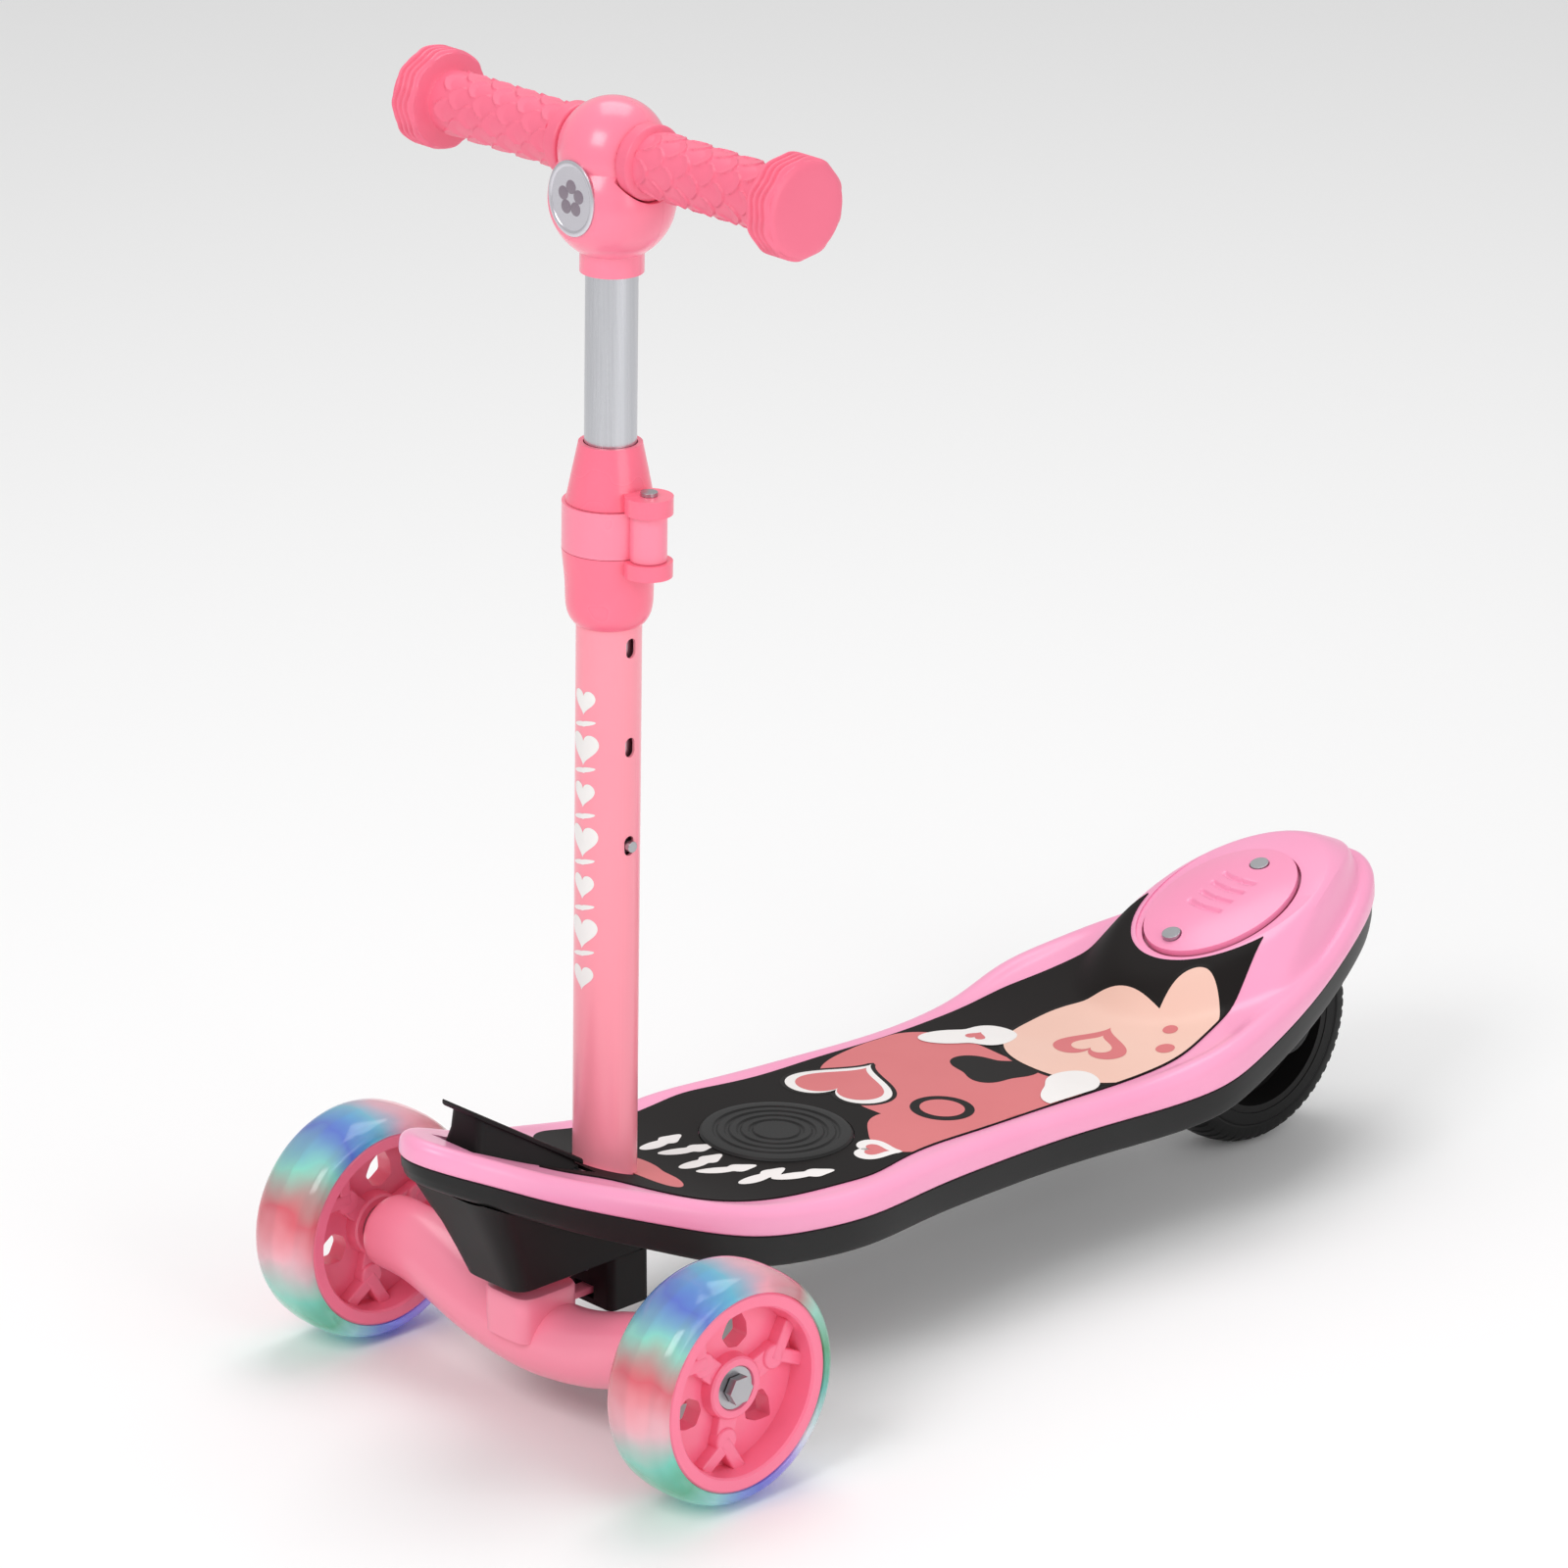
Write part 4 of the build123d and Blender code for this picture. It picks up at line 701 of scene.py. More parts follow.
discs = (("peach_disc_edge", 2.5, 0.08, black_ink), ("peach_disc", 0, 0.34, peach_ink))
for name, grow, lift, ink in discs:
    disc = blob(22, 366, 47.5 + grow, 43.5 + grow, 0, 0.03, 2.6)
    printed(name, [disc, blob(46, 404, 17.5 + grow, 33.5 + grow, 25)], lift, ink)
swooshes = [blob(-30, 330, 12, 26, -35, 0.18), blob(50, 318, 13, 24, 25, 0.1)]
printed("white_swoosh", swooshes, 0.4, white_ink)
drops = [blob(52, 386, 5, 5), blob(40, 402, 4, 4)]
printed("coral_hearts", [heart(20, 366, 20, 200), heart(-30, 330, 5.5, 200)] + drops, 0.45, coral_ink)
printed("peach_heart", [heart(20, 366, 11, 200)], 0.52, peach_ink)

# ---------------------------------------------------------------- deck plug
# Black lift-off cover that fills the round hole in the mat. Four grooves are turned in its face,
# and a short spigot below it sits in the deck.


def turned(profile, to_space, count=128, ripple=None):
    """Profile of (distance along the axis, radius) in millimetres carried round its axis. Ripple, if
    given, is a function of the angle that scales the radius row by row."""
    turn = np.linspace(0, 2 * np.pi, count, endpoint=False)
    along, radius = (np.asarray(profile, float) * mm).T
    radius = radius[:, None] * (np.ones_like(turn)[None] if ripple is None else ripple(turn))
    along = np.repeat(along[:, None], count, 1)
    return to_space(np.stack([radius * np.cos(turn), radius * np.sin(turn), along], -1))


ring_profile = [(-2.1, 0), (-2.1, 38.9), (0.3, 38.9), (1.5, 37.8), (1.78, 36)]
for radius in (31, 25, 19, 13):
    ring_profile += [(1.78, radius + 1.5), (1.0, radius + 0.7), (1.0, radius - 0.7), (1.78, radius - 1.5)]
ring_profile += [(1.78, 5), (1.78, 0)]
spigot_profile = [(-1, 27), (-9.2, 27), (-9.2, 29.9), (-1, 29.9)]
plug_patches = [turned(ring_profile, on_plug), (turned(spigot_profile, on_plug), True, True)]
plug = mesh_piece("deck_cover", plug_patches)
stand_in(plug, "deck_plug", charcoal, 25)

# ---------------------------------------------------------------- nose housing
# Black bucket under the nose, with rounded corners, that widens upwards. It holds the column's
# socket and the truck's kingpin.
bucket_rows = [(77, 20, -30, 10), (78, 21.3, -31.5, 11), (92, 23.8, -38, 13)]
bucket_rows += [(108, 26.6, -46, 15), (120, 29.5, -53, 16), (135, 33.5, -61, 18)]


def plan_loop(half, radius, steps=6):
    """Rounded loop from the corners of its left half, in millimetres behind the front axle."""
    mirrored = [(-x, y) for x, y in half]
    corners = np.array(mirrored[:1] + half + mirrored[:0:-1]) * mm + (0, front_y)
    return rounded_loop(corners, radius * mm, steps)


def bucket_ring(level, half, front, radius):
    """Plan of the bucket at one height, with that height."""
    return plan_loop([(half, front), (half, 56)], radius, 12), level * mm


bucket = mesh_piece("nose_bucket", [capped(raised([bucket_ring(*row) for row in bucket_rows]))])
y_cut = np.linspace(-90, 100, 60) * mm + front_y
under = band_rule(1, -0.2)(0 * y_cut, y_cut)
trim_loop = np.vstack([np.column_stack([y_cut, under]), [[front_y + 0.1, 0.3], [front_y - 0.09, 0.3]]])
trim = prism(trim_loop, -60, 60, to_side)
king_origin = np.array([0, front_y + 40 * mm, 66 * mm])
king_frame = leaned(np.degrees(np.arctan(0.5)) - 90)


def on_kingpin(grid):
    """Points given as (across, square to the pin, forward along it) from a point low on the pin."""
    return king_origin + grid @ king_frame


bucket = carved(
    bucket,
    [
        trim,
        box_cutter((-15.5, 15.5), (front_mm - 21.5, front_mm + 27.5), (60, 104)),
        drill(5.1, 0, 82, on_kingpin, 48),
        drill(19.1, -38.1, 30, on_column, 64),
    ],
)
stand_in(bucket, "nose_housing", black_moulding, 30)

# ---------------------------------------------------------------- front axle beam
# Pink moulded beam: a fat tube that dips in the middle, with a plinth, a stop tab and a boss for
# the kingpin. A stepped spigot at each end carries a wheel.
beam_half = [(112, 0), (85, -1.5), (64, -7), (45, -13), (25, -17), (0, -18.5)]
beam_line = np.array([(-x, z) for x, z in beam_half] + beam_half[-2::-1]) * mm


def carried(path_x, path_z, radii, count=64):
    """Round section carried along a line in the front plane, square to it at every step."""
    slope = np.gradient(path_z, path_x)
    norm = np.sqrt(1 + slope**2)
    turn = np.linspace(0, 2 * np.pi, count, endpoint=False)
    x = path_x[:, None] - (slope / norm)[:, None] * radii[:, None] * np.sin(turn)
    z = path_z[:, None] + (1 / norm)[:, None] * radii[:, None] * np.sin(turn)
    y = front_y + radii[:, None] * np.cos(turn)
    return np.stack([x, y, z], -1)


run_ends = np.array([-112, -112, -111.4, -110.2])
run = np.concatenate([run_ends, np.linspace(-108, 108, 90), -run_ends[::-1]]) * mm
dip = front_z + through(beam_line[:, 0], beam_line[:, 1], run)
thick = np.concatenate([[0.001, 17, 18.2, 18.8], np.full(90, 19.0), [18.8, 18.2, 17, 0.001]]) * mm
thick[4:-4] += 0.8 * mm * np.exp(-((run[4:-4] / (20 * mm)) ** 2))
run[0], run[-1] = -112.02 * mm, 112.02 * mm
plinth_rows = [
    (46, 16.6, 18.6), (52, 16.8, 18.8), (60, 17, 19), (68, 17, 19), (69.6, 16.2, 18.2),
    (70, 15, 17),
]
plinth = []
for level, wide, deep in plinth_rows:
    plinth.append((oval(wide * mm, deep * mm, 64, 4.5) + (0, front_y - 5 * mm), level * mm))
beam_patches = [carried(run, dip, thick), capped(raised(plinth))]
beam_patches.append(slab(oval(9 * mm, 12 * mm, 48, 5) + (0, front_y), 60, 86, 0.8))
boss = [(22.6, 7.1), (22.6, 10), (23.6, 11), (59.2, 11), (60.2, 10), (60.2, 7.1)]
beam_patches.append((turned(boss, on_kingpin, 64), True, True))
beam_patches.append(slab(plan_loop([(4, 9), (4, 43)], 1.5), 53.6, 57.4, 0.6))


def on_front_axle(grid):
    """Points given as (back, up, across) from the middle of the front axle line."""
    return to_side(grid) + (0, front_y, front_z)


spigot = [(108, 4.1), (108, 8), (113.5, 8), (114, 7.4), (114, 6.2), (119.9, 6.2), (120.2, 5.8), (120.2, 4.1)]
for sign in (-1, 1):
    beam_patches.append((turned(np.array(spigot) * (sign, 1), on_front_axle, 64), True, True))
beam = mesh_piece("front_beam", beam_patches)
# Glossy pink nylon, moulded in one piece.
beam_pink = moulded("pink_nylon", "#FE8FA8", "#FB8AA4", 0.3, 0.7, 0.02, 0.3)
stand_in(beam, "front_axle_beam", beam_pink, 40)

# ---------------------------------------------------------------- front wheels
# Clear polyurethane tyre cast over a ring of lamps. The pink centre has three spokes that fork in
# two, with a web between them.
# Cast polyurethane: milky and wet-looking. The light ring's coloured light in the tyre is painted on, as a
# glow and a tint of the lamp colours that change round the wheel.
lamp_colours = [
    "#E0455C", "#F2B7C2", "#6FD6C4", "#2BA877", "#9BE6D8", "#5868D8", "#A68AE8", "#E8EEF2",
    "#3FBFB0", "#1F9C5C", "#A6E4D4", "#D8475E", "#EFA9B8", "#4FBCD6", "#4468D0", "#8FE0CC",
]


def lit(name, wheel_x, base, glow, transmission, roughness):
    """Clear or milky plastic whose light changes colour round the wheel: the angle about the axle picks the
    colour, and noise breaks it up. The colour is painted into emission and into a tint of the base colour.
    On the light ring it stands for its own lamps; on the tyre it is painted light from the ring."""
    material, tree, shader = new_material(name)
    place = add_node(tree, "ShaderNodeTexCoord").outputs["Object"]
    middle = (wheel_x, front_y, front_z)
    off = add_node(tree, "ShaderNodeVectorMath", {0: place, 1: middle}, operation="SUBTRACT")
    parts = add_node(tree, "ShaderNodeSeparateXYZ", {0: off.outputs["Vector"]})
    sides = {0: parts.outputs["Z"], 1: parts.outputs["Y"]}
    angle = add_node(tree, "ShaderNodeMath", sides, operation="ARCTAN2")
    full_turn = {"Value": angle.outputs[0], "From Min": -np.pi, "From Max": np.pi}
    share = add_node(tree, "ShaderNodeMapRange", full_turn)
    cloud = add_node(tree, "ShaderNodeTexNoise", {"Vector": place, "Scale": 30.0, "Detail": 2.0})
    broken = {0: cloud.outputs["Fac"], 1: 0.10, 2: share.outputs["Result"]}
    nudge = add_node(tree, "ShaderNodeMath", broken, operation="MULTIPLY_ADD")
    wrap = add_node(tree, "ShaderNodeMath", {0: nudge.outputs[0]}, operation="FRACT")
    ramp = add_node(tree, "ShaderNodeValToRGB", {"Fac": wrap.outputs[0]})
    ramp.color_ramp.elements[0].color = linear(lamp_colours[0])
    ramp.color_ramp.elements[1].color = linear(lamp_colours[0])
    for number, colour in enumerate(lamp_colours[1:], start=1):
        ramp.color_ramp.elements.new(number / len(lamp_colours)).color = linear(colour)
    inks = {"Factor": 0.8, 6: linear(base), 7: ramp.outputs["Color"]}
    tint = add_node(tree, "ShaderNodeMix", inks, data_type="RGBA")
    wavy = {"Height": cloud.outputs["Fac"], "Strength": 0.1, "Distance": 0.2 * mm}
    bump = add_node(tree, "ShaderNodeBump", wavy)
    feed(shader, {"Base Color": tint.outputs[2], "Emission Color": ramp.outputs["Color"]})
    feed(shader, {"Emission Strength": glow, "Transmission Weight": transmission, "IOR": 1.49})
    feed(shader, {"Normal": bump.outputs["Normal"], "Roughness": roughness})
    return material


tyre_loop = [
    (-20, 50.8), (-20, 53.4), (-18.8, 55.6), (-16.5, 57.4), (-13, 58.8), (-7, 59.75), (0, 60),
    (7, 59.75), (13, 58.8), (16.5, 57.4), (18.8, 55.6), (20, 53.4), (20, 50.8), (17.7, 50.6),
    (17.7, 47.1), (7.2, 47.1), (7.2, 49.7), (-7.2, 49.7), (-7.2, 47.1), (-17.7, 47.1),
    (-17.7, 50.6),
]
rim_loop = [
    (-19.8, 44), (-19.8, 49.4), (-19, 50.5), (-17.9, 50.5), (-17.6, 47), (17.6, 47), (17.9, 50.5),
    (19, 50.5), (19.8, 49.4), (19.8, 44), (18.6, 43), (6, 42), (-6, 42), (-18.6, 43),
]
boss_loop = [
    (-11, 11.1), (-11.9, 11.6), (-11.9, 15), (-11, 16), (-5, 16.8), (5, 16.8), (11, 16), (11.9, 15),
    (11.9, 11.6), (11, 11.1), (4, 11.1), (4, 7), (-4, 7), (-4, 11.1),
]
# Pink nylon wheel centre.
wheel_pink = moulded("pink_wheel_nylon", "#FC7D9C", "#F87394", 0.32, 0.7, 0.03, 0.2)


def at_front_wheel(centre):
    """Rule that places (back, up, across) about the middle of one front wheel."""
    return lambda grid: on_front_axle(grid) + np.array([centre, 0, 0])


def rib(start, end, width, depth, centre):
    """Raised bar with rounded edges between two points of the wheel's face, through the web to both
    faces. All but the wheel's centre are in millimetres."""
    way = (end - start) / np.linalg.norm(end - start)
    half = np.array([-way[1], way[0]]) * width / 2
    corners = np.array([start - half, end - half, end + half, start + half]) * mm
    return slab(rounded_loop(corners, 1.2 * mm, 4), -depth, depth, 1.0, at_front_wheel(centre))


window_corners = [(18.5, -3), (24, -8.5), (31, -6.5), (38.5, 0), (31, 6.5), (24, 8.5), (18.5, 3)]
for side in ("left", "right"):
    wheel_x = middle_of("front_tyre_" + side)[0]
    at_wheel = at_front_wheel(wheel_x)
    tyre = mesh_piece("clear_tyre_" + side, [(turned(tyre_loop, at_wheel, 160), True, True)])
    # Painted light: the tyre glows with the lamp colours and is tinted by them, in place of the ring's light
    # shining through it.
    cast = lit("cast_polyurethane_painted_glow_" + side, wheel_x, "#E3EEF2", 0.12, 0.5, 0.12)
    stand_in(tyre, "front_tyre_" + side, cast, 30)
    milky = lit("milky_light_ring_" + side, wheel_x, "#FFFFFF", 0.55, 0.0, 0.4)
    refined("light_ring_" + side, milky, 0.4)
    web = drill(43, -5, 5, at_wheel)
    cuts = []
    for turn in (78, 198, 318):
        window = rounded_loop(swung(np.array(window_corners) * mm, turn), 1.5 * mm)
        cuts.append(prism(window, -8, 8, at_wheel))
    web = carved(web, cuts)
    patches = [(turned(rim_loop, at_wheel, 128), True, True)]
    patches.append((turned(boss_loop, at_wheel, 96), True, True))
    for turn in np.radians([18, 138, 258]):
        way, side_way = np.array([np.cos(turn), np.sin(turn)]), np.array([-np.sin(turn), np.cos(turn)])
        fork_point = way * 27
        patches.append(rib(way * 14, fork_point, 12, 10, wheel_x))
        patches.append(slab(circle(6.6, 40) + fork_point * mm, -11.6, 11.6, 1.5, at_wheel))
        for sign, depth in ((-1, 12), (1, 11.8)):
            start, end = fork_point + side_way * 2 * sign, way * 42 - side_way * 12 * sign
            patches.append(rib(start, end, 7, depth, wheel_x))
    hub = mesh_piece("wheel_centre_" + side, patches)
    finish_piece(web, "front_wheel_" + side, wheel_pink, 30)
    web.name = "wheel_web_" + side
    stand_in(hub, "front_hub_" + side, wheel_pink, 30)

# ---------------------------------------------------------------- rear wheel
# Solid black wheel under the tail, with small notches along the edges of its tread. A plain black
# centre holds its bearings.


def on_rear_axle(grid):
    """Points given as (back, up, across) from the middle of the rear axle."""
    return to_side(grid) + (0, rear_y, rear_z)


tread = [
    (-17.8, 46.1), (-17.8, 52), (-17.2, 53), (-17.8, 54), (-17.6, 57), (-16.4, 60.2), (-14, 62.2),
    (-10, 63.9), (-4, 64.8), (0, 65),
]
tread += [(-along, radius) for along, radius in tread[-2::-1]]
notch_rows = np.array([1 if 59 < radius < 64.5 else 0 for along, radius in tread])


def notches(turn):
    """Radius scale: a shallow notch every six degrees on the shoulder rows."""
    return 1 - 0.012 * notch_rows[:, None] * (np.sin(60 * turn)[None] > 0.55)


rear_tyre = mesh_piece("rear_tyre_casting", [(turned(tread, on_rear_axle, 480, notches), True, True)])
# Cast polyurethane, black, slightly dusty.
black_pu = moulded("black_polyurethane", "#151515", "#1C1C1C", 0.5, 0.8, 0.06, specular=0.2)
stand_in(rear_tyre, "rear_tyre", black_pu, 25)
rear_rim = [(-17.5, 42), (-17.5, 45.9), (17.5, 45.9), (17.5, 42), (6, 41), (-6, 41)]
rear_boss = [(-17, 11.1), (-17, 15), (17, 15), (17, 11.1), (10, 11.1), (10, 7), (-10, 7), (-10, 11.1)]
rear_web = [(-4, 14), (-4, 42), (4, 42), (4, 14)]
rear_patches = [(turned(loop, on_rear_axle, 96), True, True) for loop in (rear_rim, rear_boss, rear_web)]
rear_centre = mesh_piece("rear_wheel_centre", rear_patches)
stand_in(rear_centre, "rear_hub", black_moulding, 30)

# ---------------------------------------------------------------- column
# Drawn aluminium tubes: the lower one powder-coated pink with its height slots, the upper one
# bright. Hearts are printed up the front of the lower one.
# Pink powder coat: even colour with a faint orange-peel.
powder = moulded("pink_powder_coat", "#FE98A8", "#FC92A4", 0.3, 2.2, 0.03, 0.35, 0.3)
refined("column_tube", powder, 0.2)


def drawn_metal(name, colour, deep, roughness):
    """Bright tube with fine lines drawn along it: noise stretched along the tube changes colour and
    roughness."""
    material, tree, shader = new_material(name)
    place = add_node(tree, "ShaderNodeTexCoord").outputs["Object"]
    stretch = add_node(tree, "ShaderNodeMapping", {"Vector": place, "Scale": (1400.0, 1400.0, 6.0)})
    fine = {"Vector": stretch.outputs["Vector"], "Scale": 1.0, "Detail": 2.0}
    lines = add_node(tree, "ShaderNodeTexNoise", fine)
    inks = {"Factor": lines.outputs["Fac"], 6: linear(colour), 7: linear(deep)}
    blend = add_node(tree, "ShaderNodeMix", inks, data_type="RGBA")
    sheen = {"Value": lines.outputs["Fac"], "To Min": roughness - 0.05, "To Max": roughness + 0.08}
    rough = add_node(tree, "ShaderNodeMapRange", sheen)
    looks = {"Base Color": blend.outputs[2], "Roughness": rough.outputs["Result"]}
    feed(shader, looks | {"Metallic": 1.0})
    return material


# Satin anodised aluminium, drawn lengthwise.
anodised = drawn_metal("anodised_aluminium", "#D3D4D8", "#C1C2C7", 0.27)
refined("inner_tube", anodised, 0.2)
refined("handlebar_tube", anodised, 0.2)

tube_r = 16 * mm


def on_tube(loop, lift=0.08):
    """Ink on the tube: across is the arc round its front, up is the height, laid just off the wall."""
    arc, up = loop[..., 0] * mm, loop[..., 1] * mm
    angle = arc / tube_r
    radius = tube_r + lift * mm
    return on_column(np.stack([radius * np.sin(angle), -radius * np.cos(angle), up], -1))


ribbon_patches = []
for number, level in enumerate(np.linspace(104, 246, 7)):
    motif = heart(0, level, 9.0 if number % 2 else 7.0, 0)
    ribbon_patches.append(on_tube(in_rings(motif, 10)))
    if number < 6:
        motif = blob(0, level + 11.8, 7.5, 1.3, 14, 0.1)
        ribbon_patches.append(on_tube(in_rings(motif, 6)))
tube_print = mesh_piece("tube_print", ribbon_patches)
face_away(tube_print, lambda middle: Vector((0, column_foot[1], middle.z)))
finish_piece(tube_print, "deck", white_ink, 60)

# ---------------------------------------------------------------- clamp
# Pink moulded collar over the joint of the tubes, closed by a band lever that hinges on a pin.
# Both keep their CAD shape, with rounded edges.
clamp_pink = moulded("pink_clamp_nylon", "#FE7590", "#FA6C88", 0.28, 0.7, 0.02, 0.35)
lever_pink = moulded("pink_band_nylon", "#FD8BA4", "#FB849E", 0.28, 0.7, 0.02, 0.35)
refined("clamp_body", clamp_pink, 0.8)
refined("clamp_lever", lever_pink, 0.8)

# ---------------------------------------------------------------- head
# Two glossy pink shells clasp the bar and the tube. A silver oval badge with a five-petalled
# flower sits in the front one.
head_pink = moulded("pink_abs", "#FF85A0", "#FD7C98", 0.25, 0.7, 0.02, 0.45)
refined("head_front", head_pink, 0.6, 50)
refined("head_rear", head_pink, 0.6, 50)


def on_badge(grid):
    """Points given as (across, up, forward) from the middle of the badge's seat."""
    x, up, out = grid[..., 0], grid[..., 1], grid[..., 2]
    return on_column(np.stack([x, -25.45 * mm - out, 498 * mm + up], -1))


badge_rows = [
    (0, 0.0), (1, 0.0), (1.0, 0.9), (0.96, 1.35), (0.9, 1.45), (0.86, 1.2), (0.84, 0.85), (0, 0.85),
]
badge_edge = oval(15.9 * mm, 18.4 * mm, 96)
badge_grid = raised([(badge_edge * share, level * mm) for share, level in badge_rows])
badge = mesh_piece("badge_oval", [on_badge(badge_grid)])
# Vacuum-metallised plastic: silver with a soft brush.
silver = moulded("metallised_badge", "#DEDCE2", "#C9C6CF", 0.25, 0.5, 0.02)
feed(silver.node_tree.nodes["Principled BSDF"], {"Metallic": 0.85})
stand_in(badge, "badge", silver, 30)
petal_rows = [(0.0, 1.3), (0.5, 1.3), (0.8, 1.2), (1.0, 0.9), (1.0, 0.8)]
petal_patches = []
for turn in np.radians([90, 162, 234, 306, 18]):
    centre = np.array([np.cos(turn), np.sin(turn)]) * 5.6 * mm
    petal = [(centre + circle(3.4, 32) * share, level * mm) for share, level in petal_rows]
    petal_patches.append(on_badge(raised(petal)))
petals = mesh_piece("badge_flower", petal_patches)
enamel = moulded("grey_enamel", "#8B7F8A", "#7C707B", 0.3, 0.6, 0.02)
finish_piece(petals, "handlebar", enamel, 40)

# ---------------------------------------------------------------- grips
# Soft pink grips: rows of raised leaves, a flange at the head and a scalloped end cap. The bar
# goes into a blind bore.
bar_level = 516.6 * mm


def grip_skin(along, turn):
    """Radius of the grip at a distance from the middle of the bar and an angle round it: a sleeve
    with leaf-shaped scales in staggered rows, a flange, and four scalloped rings on the cap."""
    radius = np.full(along.shape, 14.9)
    pitch = 17.5
    for stagger in (0, 1):
        row = (along - 37) / pitch - stagger * 0.5
        offset = (row - np.round(row)) * pitch
        sector = (turn * 3 / np.pi) - stagger * 0.5
        spread = (sector - np.round(sector)) * (np.pi / 3) * 15.4
        bow = offset - 4.2 + 0.16 * spread**2
        tip = np.clip((bow + 6.5) / 6.5, 0, 1) * np.clip(-bow / 0.7, 0, 1)
        leaf = tip * np.clip((6.6 - np.abs(spread)) / 1.2, 0, 1)
        radius = np.maximum(radius, np.where((along > 31.5) & (along < 112), 14.9 + 1.5 * leaf, 0))
    flange = np.clip((30.2 - along) / 1.6, 0, 1)
    radius = np.maximum(radius, 15.2 + 3.1 * np.sqrt(flange) * (along < 30.2))
    cap = np.clip((along - 115.2) / 1.5, 0, 1)
    wave = 0.5 - 0.5 * np.cos(2 * np.pi * np.clip((along - 117.2 + 0.8 * np.cos(9 * turn)) / 3.7, 0, 4))
    ribs = 23.0 + 1.6 * wave**0.7
    return radius + cap * (ribs - radius)


around = np.linspace(0, 2 * np.pi, 144, endpoint=False)


def round_bar(along, radius):
    """Rings round the bar at distances from its middle, with a radius for each point or each ring,
    in millimetres."""
    x = np.repeat(np.asarray(along, float)[:, None], len(around), 1) * mm
    radius = np.asarray(radius, float) * mm
    grid = np.stack([x, radius * np.cos(around), bar_level + radius * np.sin(around)], -1)
    return on_column(grid)


grip_pink = moulded("pink_grip_compound", "#F6738F", "#F06A86", 0.42, 0.6, 0.05)
flange_along, sleeve_along = np.linspace(23.2, 31, 16), np.linspace(31.4, 114.8, 210)
scallop_along = np.linspace(115, 132.4, 60)
along = np.concatenate([[21.2, 21.2, 21.6, 22.4], flange_along, sleeve_along, scallop_along])
skin = grip_skin(along[:, None] + 0 * around[None], around[None] + 0 * along[:, None])
skin[:3] = np.array([11.05, 17.2, 17.9])[:, None]
cap_rows = [(132.9, 22.3), (133.5, 21.4), (133.8, 20), (133.9, 15), (133.95, 8), (133.95, 0)]
along = np.concatenate([along, [end for end, radius in cap_rows]])
skin = np.vstack([skin] + [np.full((1, len(around)), radius) for end, radius in cap_rows])
for side, sign in (("left", 1), ("right", -1)):
    sleeve = round_bar(sign * along, skin)
    bore = round_bar([sign * 124.5, sign * 124.5], [[0], [11.05]])
    grip = mesh_piece("grip_sleeve_" + side, [sleeve, np.concatenate([bore, sleeve[:1]])])
    stand_in(grip, "grip_" + side, grip_pink, 40)

# ---------------------------------------------------------------- release lever
# Black moulded lever in front of the column: a sloping plate with a lip over a hollow skirt. A
# barrel across it turns on the pin.
lever_tip, lever_heel = np.array([-51, 177.9]), np.array([22.6, 130.2])


def plate_level(y):
    """Height of the lever's top plate at a distance along the deck."""
    share = (y - front_y - lever_tip[0] * mm) / ((lever_heel[0] - lever_tip[0]) * mm)
    return (lever_tip[1] + (lever_heel[1] - lever_tip[1]) * share) * mm


plate_loop = plan_loop([(12.8, -50.8), (13.9, -20), (11, 22.4)], 4, 8)
skirt_loop = plan_loop([(11, -46), (12, -15), (9, 19)], 5, 8)
skirt_foot = plan_loop([(13.5, -49), (14, -15), (10, 20)], 5, 8)
plate_middle = np.repeat(plate_loop.mean(0)[None], len(plate_loop), 0)
inner_foot = skirt_foot + inward_of(skirt_foot) * 2.0 * mm
inner_top = skirt_loop + inward_of(skirt_loop) * 2.0 * mm


def plate_ring(loop, drop):
    """Points over a loop, dropped by some millimetres from the lever's top plate."""
    return loop, plate_level(loop[:, 1]) - drop * mm


def foot_level(y):
    """Height of the skirt's foot, just under the deck's surface."""
    return np.minimum(plate_level(y) - 3.4 * mm, top_level(0 * y, y) - 1.5 * mm)


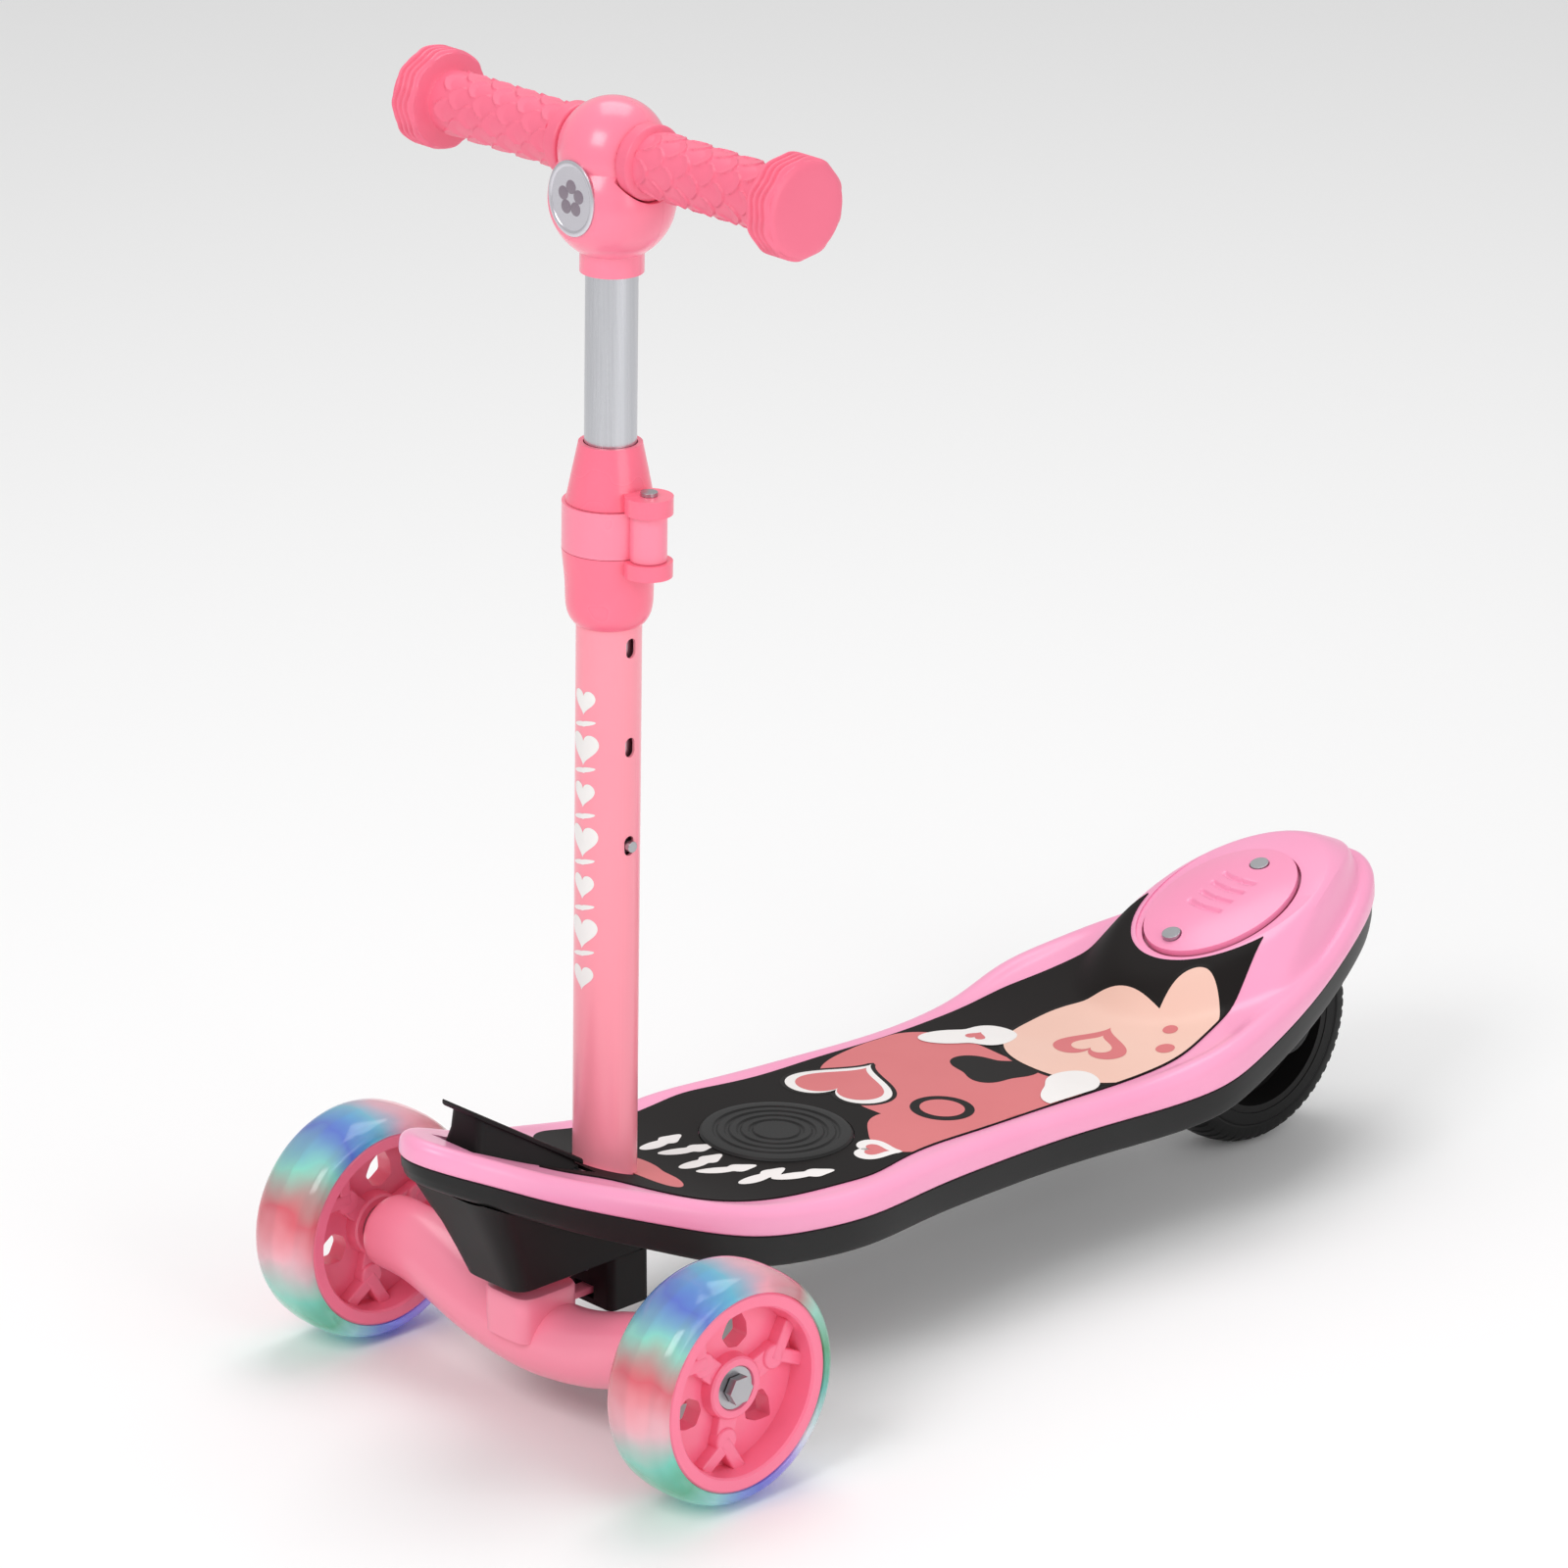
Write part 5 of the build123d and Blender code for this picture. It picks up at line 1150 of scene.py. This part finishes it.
lip_rows = ((2.2, 0.15), (1.6, 0.5), (0.5, 0), (0, 0.7), (0, 2.3), (0.7, 3.0))
lever_rings = [plate_ring(plate_middle, 0)]
plate_in = inward_of(plate_loop) * mm
lever_rings += [plate_ring(plate_loop + plate_in * step, drop) for step, drop in lip_rows]
waist = skirt_loop * 0.7 + skirt_foot * 0.3
waist_level = 0.4 * plate_level(waist[:, 1]) + 0.6 * foot_level(waist[:, 1])
lever_rings += [plate_ring(skirt_loop, 3.1), (waist, waist_level)]
lever_rings += [(loop, foot_level(loop[:, 1])) for loop in (skirt_foot, inner_foot)]
lever_rings += [plate_ring(inner_top, 3.1), plate_ring(plate_middle, 3.1)]
lever = mesh_piece("release_lever_moulding", [raised(lever_rings)])
barrel_place = (front_y + 16 * mm, 126.8 * mm)
barrel_grid = slab(circle(2.9, 40) + barrel_place, -9.6, 9.6, 0.4, to_side)
barrel = mesh_piece("release_lever_barrel", [barrel_grid])
barrel = carved(barrel, [across_tube(*barrel_place, 1.6, 20, 32)])
stand_in(lever, "release_lever", black_moulding)
finish_piece(barrel, "release_lever", black_moulding)

# ---------------------------------------------------------------- brake pedal
# Domed pink pedal over the rear wheel with four curved foot grooves. Two screws in round seats
# hold it on its springs.
pedal_wide, pedal_long = 34.7 * mm, 47.7 * mm
share = np.linspace(0, 1, 44)
turn = np.linspace(0, 2 * np.pi, 168, endpoint=False)
across = pedal_wide * share[:, None] * np.cos(turn)
upward = pedal_long * share[:, None] * np.sin(turn)


def pedal_height(x, v):
    """Height of the dome off the tail's slope: 1 - r^2.6 over the oval, less four shallow curved
    grooves."""
    reach = np.clip((x / pedal_wide) ** 2 + (v / pedal_long) ** 2, 0, 1)
    height = 0.6 + 3.9 * (1 - reach**1.3)
    for groove in (-13, -4, 5, 14):
        away = np.abs(v / mm - groove - 1.6 * (x / mm / 11) ** 2)
        ends = np.clip((12 - np.abs(x) / mm) / 2, 0, 1)
        height = height - 1.5 * ends * np.exp(-((away / 1.5) ** 4))
    return height * mm


dome = np.stack([across, upward, pedal_height(across, upward)], -1)
under = dome[-1] * (1, 1, 0) + (0, 0, -2.9 * mm)
middle = np.array([[0, 0, -2.9 * mm]]).repeat(168, 0)
pedal = mesh_piece("brake_pedal_moulding", [on_tail(np.concatenate([dome, [under, middle]]))])
screws = [(0, -37.8 * mm), (0, 31.5 * mm)]
seats = [prism(circle(5.5, 48) + place, 1.5, 20, on_tail) for place in screws]
holes = [prism(circle(2.1, 32) + place, -10, 20, on_tail) for place in screws]
pedal = carved(pedal, seats + holes)
pedal_pink = moulded("pale_pink_pedal", "#FE9CC2", "#FC93BB", 0.3, 0.6, 0.02, 0.3)
stand_in(pedal, "brake_pedal", pedal_pink, 30)
